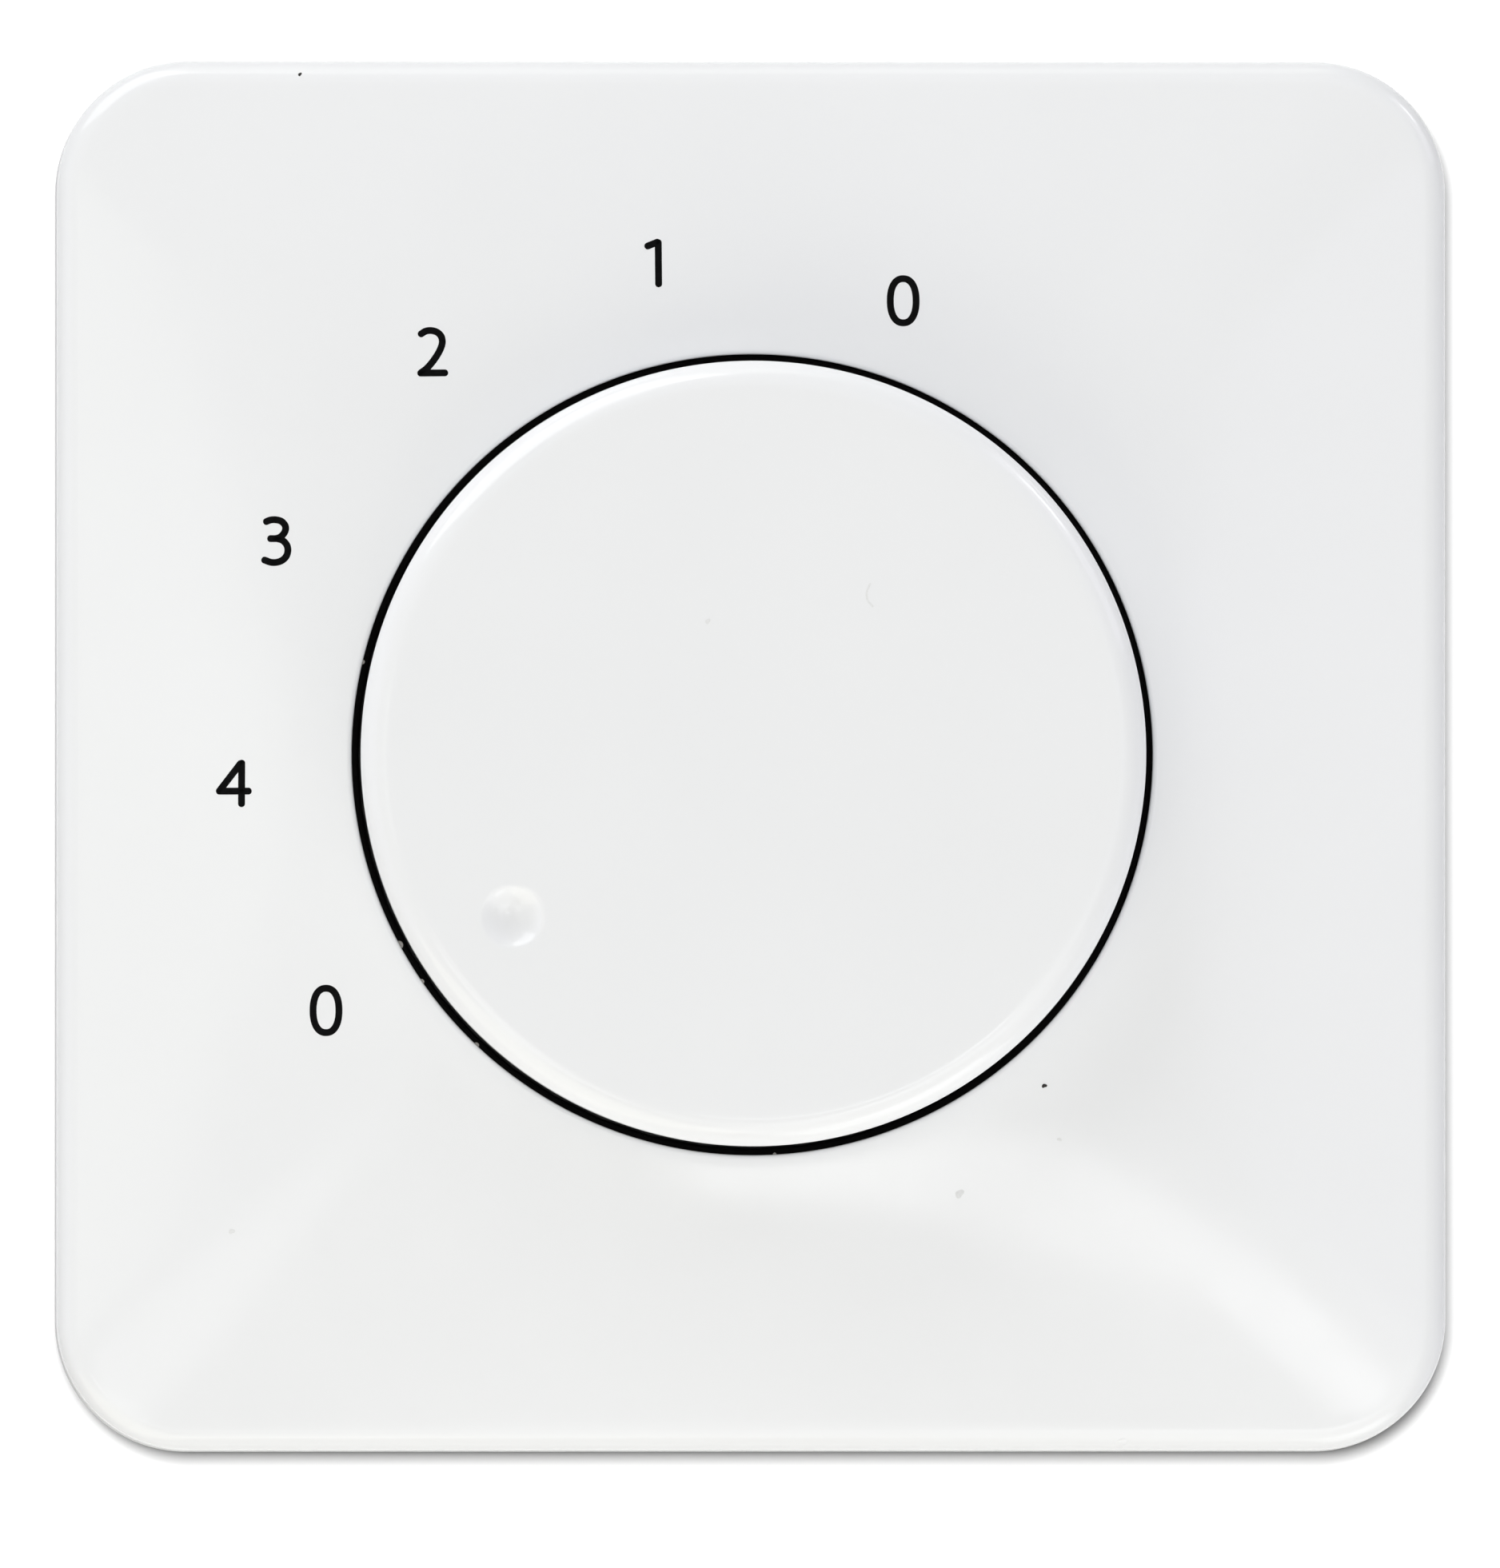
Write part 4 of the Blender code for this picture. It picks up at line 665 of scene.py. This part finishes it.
strokes = {
    "0": [("closed", ovalPath())],
    "1": [("straight", [(0.22, 1.18), (0.24, -1.2)]), ("straight", [(-0.38, 0.98), (0.16, 1.2)])],
    "2": [
        ("curved", [
            (-0.63, 1.05), (-0.38, 1.2), (-0.08, 1.24), (0.25, 1.16), (0.5, 0.93), (0.58, 0.6),
            (0.5, 0.25), (0.3, -0.15), (0.0, -0.58), (-0.32, -0.94), (-0.64, -1.18),
        ]),
        ("straight", [(-0.66, -1.2), (0.72, -1.19)]),
    ],
    "3": [
        ("curved", [
            (-0.58, 1.15), (-0.33, 1.24), (-0.05, 1.25), (0.26, 1.17), (0.47, 0.96), (0.52, 0.72),
            (0.42, 0.46), (0.2, 0.25), (-0.02, 0.18),
        ]),
        ("straight", [(-0.34, 0.17), (0.06, 0.17)]),
        ("curved", [
            (0.04, 0.17), (0.34, 0.07), (0.57, -0.17), (0.65, -0.46), (0.58, -0.8), (0.36, -1.05),
            (0.05, -1.18), (-0.3, -1.19), (-0.68, -1.06),
        ]),
    ],
    "4": [
        ("straight", [(0.36, 1.12), (-0.84, -0.44)]),
        ("straight", [(-0.84, -0.45), (0.82, -0.45)]),
        ("straight", [(0.44, 1.15), (0.43, -1.17)]),
    ],
}


def smoothPath(points, kind, past):
    # Points along a stroke at even steps; a curved one is a cubic through its points, with each
    # point's slope taken from its neighbours. An open one runs on past both of its ends.
    points = np.array(points, float) * mm
    if kind == "curved":
        before = np.vstack([2 * points[0] - points[1], points, 2 * points[-1] - points[-2]])
        t = np.linspace(0, 1, numerals["cubicSteps"], endpoint=False)[:, None, None]
        a, b, c, d = before[:-3], before[1:-2], before[2:-1], before[3:]
        curve = 0.5 * (2 * b + (c - a) * t + (2 * a - 5 * b + 4 * c - d) * t ** 2
                       + (3 * b - a - 3 * c + d) * t ** 3)
        points = np.vstack([curve.transpose(1, 0, 2).reshape(-1, 2), points[-1]])
    if kind != "closed":
        before = points[0] - points[1]
        after = points[-1] - points[-2]
        start = points[0] + before / np.hypot(*before) * past
        end = points[-1] + after / np.hypot(*after) * past
        points = np.vstack([start, points, end])
    lengths = np.concatenate([[0], np.cumsum(np.hypot(*np.diff(points, axis=0).T))])
    count = max(int(lengths[-1] / numerals["step"]), numerals["leastSteps"])
    steps = np.linspace(0, lengths[-1], count)
    return np.stack([np.interp(steps, lengths, points[:, k]) for k in (0, 1)], axis=-1), steps


def strokeSkin(points, kind, middle, level, stroke, film):
    # A film carried along a path. Its width closes to a half circle at each open end, and its flat
    # section has the film's height in the middle and none at its edges. It is as deep below.
    half = stroke / 2
    path, steps = smoothPath(points, kind, half)
    heading = np.gradient(path, axis=0)
    if kind == "closed":
        heading[0] = heading[-1] = path[1] - path[-2]
        width = np.full(len(path), half)
    else:
        toEnd = np.minimum(steps, steps[-1] - steps)
        inside = np.clip(1 - toEnd / half, 0, 1)
        width = half * np.sqrt(1 - inside ** 2)
    side = np.stack([-heading[:, 1], heading[:, 0]], axis=-1)
    side /= np.hypot(*side.T)[:, None]
    shares = np.array([-1, -0.93, -0.5, 0, 0.5, 0.93, 1, 0.5, -0.5])
    lifts = np.array([0, 0.8, 1, 1, 1, 0.8, 0, -1, -1]) * film
    plan = path[:, None] + side[:, None] * (shares[:, None] * width[:, None, None]) + np.array(middle)
    base = level(plan[..., 0], plan[..., 1])
    grid = np.concatenate([plan, (base + lifts)[..., None]], axis=-1)
    if kind == "closed":
        return skin(grid[:-1], loop=True)
    return skin(grid, capEnds=True)


counts = {}
for sign, x, y in numerals["places"]:
    counts[sign] = counts.get(sign, 0) + 1
    skins = [
        strokeSkin(points, kind, (x * mm, y * mm), coverLevel, numerals["stroke"], numerals["film"])
        for kind, points in strokes[sign]
    ]
    addPiece(f"numeral_{sign}_{counts[sign]}", skins, ink, "switch")
print("numerals:", len(numerals["places"]))


# Dirt on the plate and the knob: grains as x, y and radius in mm, a fine scratch on the knob, and
# lint on the well's wall as the angle in degrees, the level and the radius in mm

dirt = {
    "coverGrains": [(-25.91, 39.05, 0.10), (16.72, -18.96, 0.13)], "grainRise": 0.35,
    "coverSmudges": [(11.87, -25.14, 0.24), (-29.79, -27.29, 0.16), (17.59, -22.03, 0.12)],
    "knobSmudges": [(-2.65, 7.5, 0.15)], "smudgeRise": 0.05,
    "scratch": [(0.12, 0.66), (-0.04, 0.33), (-0.08, 0.0), (0.0, -0.32), (0.26, -0.62)],
    "scratchPlace": (6.5, 8.97), "scratchWidth": 0.12 * mm, "scratchFilm": 0.004 * mm,
    "lint": [
        (166.6, 10.15, 0.13), (208.3, 10.1, 0.2), (214.5, 10.2, 0.12),
        (226.5, 10.1, 0.15), (273.2, 10.1, 0.12),
    ],
    "lintFlat": 0.5, "gateMark": [(21.2, -39.45, 0.3)], "gateRise": 0.2,
    "columns": 20, "waver": (0.22, 0.12),
}
grainAngles = np.linspace(0, 2 * math.pi, dirt["columns"], endpoint=False)
grainShares = np.array([0, 0.5, 0.85, 1.0, 0.6])[:, None]
grainLifts = np.array([1.0, 0.86, 0.46, 0, -0.57])[:, None]


def grainReach(number, radius):
    # The outline of a grain wavers twice and three times round, each grain in its own way.
    twice, thrice = dirt["waver"]
    waver = 1 + twice * np.sin(2 * grainAngles + number)
    waver = waver + thrice * np.sin(3 * grainAngles + 2 * number)
    return grainShares * waver * radius


def grainSkins(places, level, rise):
    # Low irregular domes on a surface, as high as their radius times rise.
    skins = []
    for number, (x, y, radius) in enumerate(places):
        reach = grainReach(number, radius * mm)
        across = x * mm + reach * np.cos(grainAngles)
        along = y * mm + reach * np.sin(grainAngles)
        height = level(across, along) + grainLifts * rise * radius * mm
        skins.append(skin(np.stack([across, along, height], axis=-1), capEnds=True))
    return skins


def lintSkins(places):
    # The same domes on the well's wall, flattened from above, where they stand out to the knob.
    skins = []
    for number, (turn, level, radius) in enumerate(places):
        reach = grainReach(number, radius * mm)
        angle = math.radians(turn) + reach * np.cos(grainAngles) / cover["well"]
        inward = cover["well"] - grainLifts * radius * mm
        rise = level * mm + reach * np.sin(grainAngles) * dirt["lintFlat"]
        grid = np.stack([inward * np.cos(angle), inward * np.sin(angle), rise], axis=-1)
        skins.append(skin(grid, capEnds=True))
    return skins


coverGrains = grainSkins(dirt["coverGrains"], coverLevel, dirt["grainRise"])
coverSmudges = grainSkins(dirt["coverSmudges"], coverLevel, dirt["smudgeRise"])
knobSmudge = grainSkins(dirt["knobSmudges"], knobTop, dirt["smudgeRise"])
scratchPlace = [value * mm for value in dirt["scratchPlace"]]
scratch = strokeSkin(
    dirt["scratch"], "curved", scratchPlace, knobTop, dirt["scratchWidth"], dirt["scratchFilm"]
)
gateMark = grainSkins(dirt["gateMark"], coverLevel, dirt["gateRise"])
addPiece("cover_grains", coverGrains, blackGrain, "switch")
addPiece("cover_smudges", coverSmudges, faintSmudge, "switch")
addPiece("knob_smudge", knobSmudge, faintSmudge, "turning_knob")
addPiece("knob_scratch", [scratch], faintSmudge, "turning_knob")
addPiece("gap_lint", lintSkins(dirt["lint"]), greyLint, "switch")
addPiece("gate_mark", gateMark, finishes["white_moulding"], "switch")
print("dirt and marks ready")


# The rest of the switch keeps its solids, with edges broken as tools and moulds leave them, in mm

edges = {
    "switch_base": 0.25, "switch_lid": 0.2, "clamp_disc": 0.15, "support_ring": 0.12, "lock_nut": 0.1,
    "threaded_bush": 0.1, "detent_wheel": 0.1, "contact_rotor": 0.12, "others": 0.05,
    "flatAngle": math.radians(0.5), "sharpAngle": math.radians(35), "segments": 2,
}
slots = {item["node"]: item["material_slot"] for item in frame["record"]["subparts"]}


def breakEdges(node):
    # A copy of a solid with its points merged, its flat faces whole and its edges rounded.
    source = frame["nodes"][node]
    mesh = bpy.data.meshes.new(node + "_finished")
    shape = bmesh.new()
    shape.from_mesh(source.data)
    bmesh.ops.remove_doubles(shape, verts=shape.verts, dist=mergeWithin["solid"])
    bmesh.ops.dissolve_limit(
        shape, angle_limit=edges["flatAngle"], verts=shape.verts, edges=shape.edges,
        use_dissolve_boundaries=False,
    )
    shape.to_mesh(mesh)
    shape.free()
    mesh.shade_smooth()
    mesh.set_sharp_from_angle(angle=edges["sharpAngle"])
    mesh.materials.clear()
    mesh.materials.append(finishes[slots[node]])
    piece = bpy.data.objects.new(node + "_finished", mesh)
    bpy.context.scene.collection.objects.link(piece)
    bevel = piece.modifiers.new("edges", "BEVEL")
    bevel.width = edges.get(node, edges["others"]) * mm
    bevel.segments = edges["segments"]
    bevel.limit_method = "ANGLE"
    bevel.angle_limit = edges["sharpAngle"]
    bevel.use_clamp_overlap = True
    bevel.harden_normals = True
    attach(piece, source["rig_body"])
    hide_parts(node)


for node in frame["nodes"]:
    if node not in ("cover_plate", "knob"):
        breakEdges(node)
print("finished solids:", len(frame["nodes"]) - 2)


# Stage, light and camera

studio = {
    "wallHalf": 0.16, "wallGap": 0.05 * mm, "wallColour": "9a9a9a", "wallGlow": 0.06,
    "holeInside": 0.2 * mm, "wallCorner": 1 * mm, "wallColumns": 360,
    "floorHalf": 0.6, "floorLevel": -0.062, "floorColour": "ffffff", "floorGlow": 0.14,
    "world": 0.5, "worldSeen": 1.0,
}


def stageFinish(name, albedo, glow):
    # Plain paper. Rays from behind pass through it, so that it hides nothing there. Bounced light
    # from the switch finds it dark, and a glow that only seen rays find takes it to white.
    finish = bpy.data.materials.new(name)
    finish.use_nodes = True
    tree = finish.node_tree
    tree.nodes.clear()
    paper = addNode(tree, "ShaderNodeBsdfDiffuse", {"Color": hexColour(albedo)})
    strength = reckon(tree, "MULTIPLY", seenRays(tree), glow)
    light = addNode(tree, "ShaderNodeEmission", links={"Strength": strength})
    lit = addNode(tree, "ShaderNodeAddShader", links={0: paper.outputs[0], 1: light.outputs[0]})
    dark = addNode(tree, "ShaderNodeEmission", {"Strength": 0.0})
    bounced = addNode(tree, "ShaderNodeLightPath").outputs["Is Diffuse Ray"]
    front = addNode(
        tree, "ShaderNodeMixShader", links={0: bounced, 1: lit.outputs[0], 2: dark.outputs[0]}
    )
    clear = addNode(tree, "ShaderNodeBsdfTransparent")
    back = addNode(tree, "ShaderNodeNewGeometry").outputs["Backfacing"]
    both = addNode(
        tree, "ShaderNodeMixShader", links={0: back, 1: front.outputs[0], 2: clear.outputs[0]}
    )
    addNode(tree, "ShaderNodeOutputMaterial", links={"Surface": both.outputs[0]})
    return finish


def backdropSheet():
    # The wall, with a hole a little smaller than the plate's outline, as a wall box leaves: from
    # the hole's rounded square straight out to the sheet's own edge.
    angles = np.linspace(0, 2 * math.pi, studio["wallColumns"], endpoint=False)
    inside = studio["holeInside"]
    hole = squareReach(cover["half"] - inside, cover["corner"] - inside, angles)
    rim = squareReach(studio["wallHalf"], studio["wallCorner"], angles)
    level = -studio["wallGap"]
    points, faces = skin(np.array([ringAt(hole, level, angles), ringAt(rim, level, angles)]))
    return points, [face[::-1] for face in faces]       # the paper's face is towards the camera


def addSheet(name, points, faces, finish):
    mesh = bpy.data.meshes.new(name)
    mesh.from_pydata(points, [], faces)
    mesh.materials.append(finish)
    sheet = bpy.data.objects.new(name, mesh)
    bpy.context.scene.collection.objects.link(sheet)
    return sheet


floorPlan = np.array([(-1, -1), (1, -1), (1, 1), (-1, 1)]) * studio["floorHalf"]
wallPaper = stageFinish("wall_paper", studio["wallColour"], studio["wallGlow"])
floorPaper = stageFinish("floor_paper", studio["floorColour"], studio["floorGlow"])
backdrop = addSheet("backdrop", *backdropSheet(), wallPaper)
floorPoints = [(x, y, studio["floorLevel"]) for x, y in floorPlan]
floorSheet = addSheet("floor", floorPoints, [(0, 1, 2, 3)], floorPaper)
# The lower lamps stand under the floor and shine through it
floorSheet.visible_diffuse = False
floorSheet.visible_glossy = False
floorSheet.visible_shadow = False

world = bpy.data.worlds.new("studio")
bpy.context.scene.world = world
world.use_nodes = True
tree = world.node_tree
tree.nodes.clear()
strength = between(tree, seenRays(tree), studio["world"], studio["worldSeen"], 0.0, 1.0)
white = {"Color": hexColour("ffffff")}
background = addNode(tree, "ShaderNodeBackground", white, {"Strength": strength})
addNode(tree, "ShaderNodeOutputWorld", links={"Surface": background.outputs[0]})

# Lamps stand round the knob's axis: turn is measured from the right towards up, tilt from the axis.
# share is how much of full white a lamp gives a white face square to the axis. The windows and
# glows light gloss alone: they are what the plate's facets, the rims and the dimple reflect
lamps = [
    {"name": "front_fill", "turn": 95, "tilt": 14, "away": 1.6, "size": 0.6, "share": 0.03,
     "only": "diffuse", "colour": "fffcc8"},
    {"name": "lower_right_box", "turn": 297, "tilt": 53, "away": 0.8, "size": 0.7, "share": 0.15},
    {"name": "lower_left_box", "turn": 238, "tilt": 67, "away": 0.8, "size": 0.7, "share": 0.122,
     "colour": "fffce8"},
    {"name": "upper_left_box", "turn": 121, "tilt": 74, "away": 0.8, "size": 0.65, "share": 0.14,
     "colour": "fcfdff"},
    {"name": "upper_right_box", "turn": 39, "tilt": 48, "away": 0.8, "size": 0.5, "share": 0.03,
     "colour": "f4f4ff"},
    {"name": "top_side", "turn": 98, "tilt": 82, "away": 0.8, "size": 0.5, "share": 0.02,
     "colour": "fffff0"},
    {"name": "left_side", "turn": 185, "tilt": 80, "away": 0.8, "size": 0.7, "share": 0.021,
     "colour": "e4e4ff"},
    {"name": "low_side", "turn": 294, "tilt": 82, "away": 0.8, "size": 0.5, "share": 0.03},
    {"name": "right_side", "turn": 34, "tilt": 82, "away": 0.8, "size": 0.5, "share": 0.025,
     "colour": "f4f4ff"},
    {"name": "upper_right_strip", "turn": 41, "tilt": 85, "away": 0.8, "size": 0.14, "share": 0.003,
     "only": "glossy"},
    {"name": "top_box", "turn": 90, "tilt": 42, "away": 0.8, "size": 0.5, "share": 0.02,
     "only": "glossy"},
    {"name": "low_window", "turn": 297.4, "tilt": 12.6, "away": 1.2, "size": 0.278, "tall": 0.111,
     "share": 0.0144, "only": "glossy"},
    {"name": "low_right_glow", "turn": 332, "tilt": 13.5, "away": 1.2, "size": 0.23, "tall": 0.126,
     "share": 0.002, "only": "glossy"},
    {"name": "low_left_glow", "turn": 224, "tilt": 14, "away": 1.2, "size": 0.16, "share": 0.005,
     "only": "glossy"},
    {"name": "lower_right_window", "turn": 316, "tilt": 28, "away": 1.2, "size": 0.46, "share": 0.046,
     "only": "glossy"},
    {"name": "lower_left_window", "turn": 232, "tilt": 26, "away": 1.2, "size": 0.34, "share": 0.03,
     "only": "glossy"},
    {"name": "far_low_window", "turn": 272, "tilt": 31, "away": 1.2, "size": 0.36, "share": 0.018,
     "only": "glossy"},
    {"name": "left_glow", "turn": 179, "tilt": 21, "away": 1.2, "size": 0.24, "share": 0.008,
     "only": "glossy", "colour": "fafff4"},
    {"name": "right_glow", "turn": 1, "tilt": 22, "away": 1.2, "size": 0.34, "share": 0.013,
     "only": "glossy", "colour": "e8e8ff"},
    {"name": "backdrop_lamp", "turn": 122, "tilt": 4.5, "away": 1.6, "size": 0.23, "share": 3.0,
     "only": "backdrop"},
]


def addLamp(lamp, notBackdrop, onlyBackdrop):
    # A flat lamp that faces the knob's middle, lighting the gloss, the rest or both.
    turn = math.radians(lamp["turn"])
    tilt = math.radians(lamp["tilt"])
    away = Vector((math.sin(tilt) * math.cos(turn), -math.cos(tilt), math.sin(tilt) * math.sin(turn)))
    light = bpy.data.lights.new(lamp["name"], "AREA")
    light.shape = "RECTANGLE"
    light.size = lamp["size"]
    light.size_y = lamp.get("tall", lamp["size"])
    light.energy = lamp["share"] * math.pi ** 2 * lamp["away"] ** 2 / math.cos(tilt)
    light.color = hexColour(lamp.get("colour", "ffffff"))[:3]
    holder = bpy.data.objects.new(lamp["name"], light)
    holder.location = away * lamp["away"]
    holder.rotation_euler = (-away).to_track_quat("-Z", "Y").to_euler()
    only = lamp.get("only")
    holder.visible_glossy = only in (None, "glossy")
    holder.visible_diffuse = only != "glossy"
    holder.visible_camera = False
    holder.light_linking.receiver_collection = onlyBackdrop if only == "backdrop" else notBackdrop
    bpy.context.scene.collection.objects.link(holder)


# The backdrop has a lamp of its own, high on the left, which draws the plate's narrow shadow
onlyBackdrop = bpy.data.collections.new("lit_by_backdrop_lamp")
onlyBackdrop.objects.link(backdrop)
notBackdrop = bpy.data.collections.new("lit_by_studio_lamps")
notBackdrop.objects.link(backdrop)
notBackdrop.collection_objects[0].light_linking.link_state = "EXCLUDE"
for lamp in lamps:
    addLamp(lamp, notBackdrop, onlyBackdrop)

view = {
    "away": 1.5, "fromLeft": 1.0, "fromBelow": 0.9, "height": 90.4 * mm,
    "aim": (0.05 * mm, 0, -1.52 * mm), "sensor": 36.0, "nearest": 0.05, "farthest": 20,
}
camera = bpy.data.cameras.new("camera")
camera.sensor_fit = "AUTO"
camera.sensor_width = view["sensor"]
camera.lens = view["sensor"] * view["away"] / view["height"]
camera.clip_start = view["nearest"]
camera.clip_end = view["farthest"]
left = math.radians(view["fromLeft"])
below = math.radians(view["fromBelow"])
towards = Vector((-math.sin(left), -math.cos(left) * math.cos(below), -math.sin(below)))
cameraObject = bpy.data.objects.new("camera", camera)
cameraObject.location = Vector(view["aim"]) + towards * view["away"]
cameraObject.rotation_euler = (-towards).to_track_quat("-Z", "Y").to_euler()
bpy.context.scene.collection.objects.link(cameraObject)
bpy.context.scene.camera = cameraObject
bpy.context.scene.view_settings.view_transform = "Standard"
print("stage, lamps and camera ready")
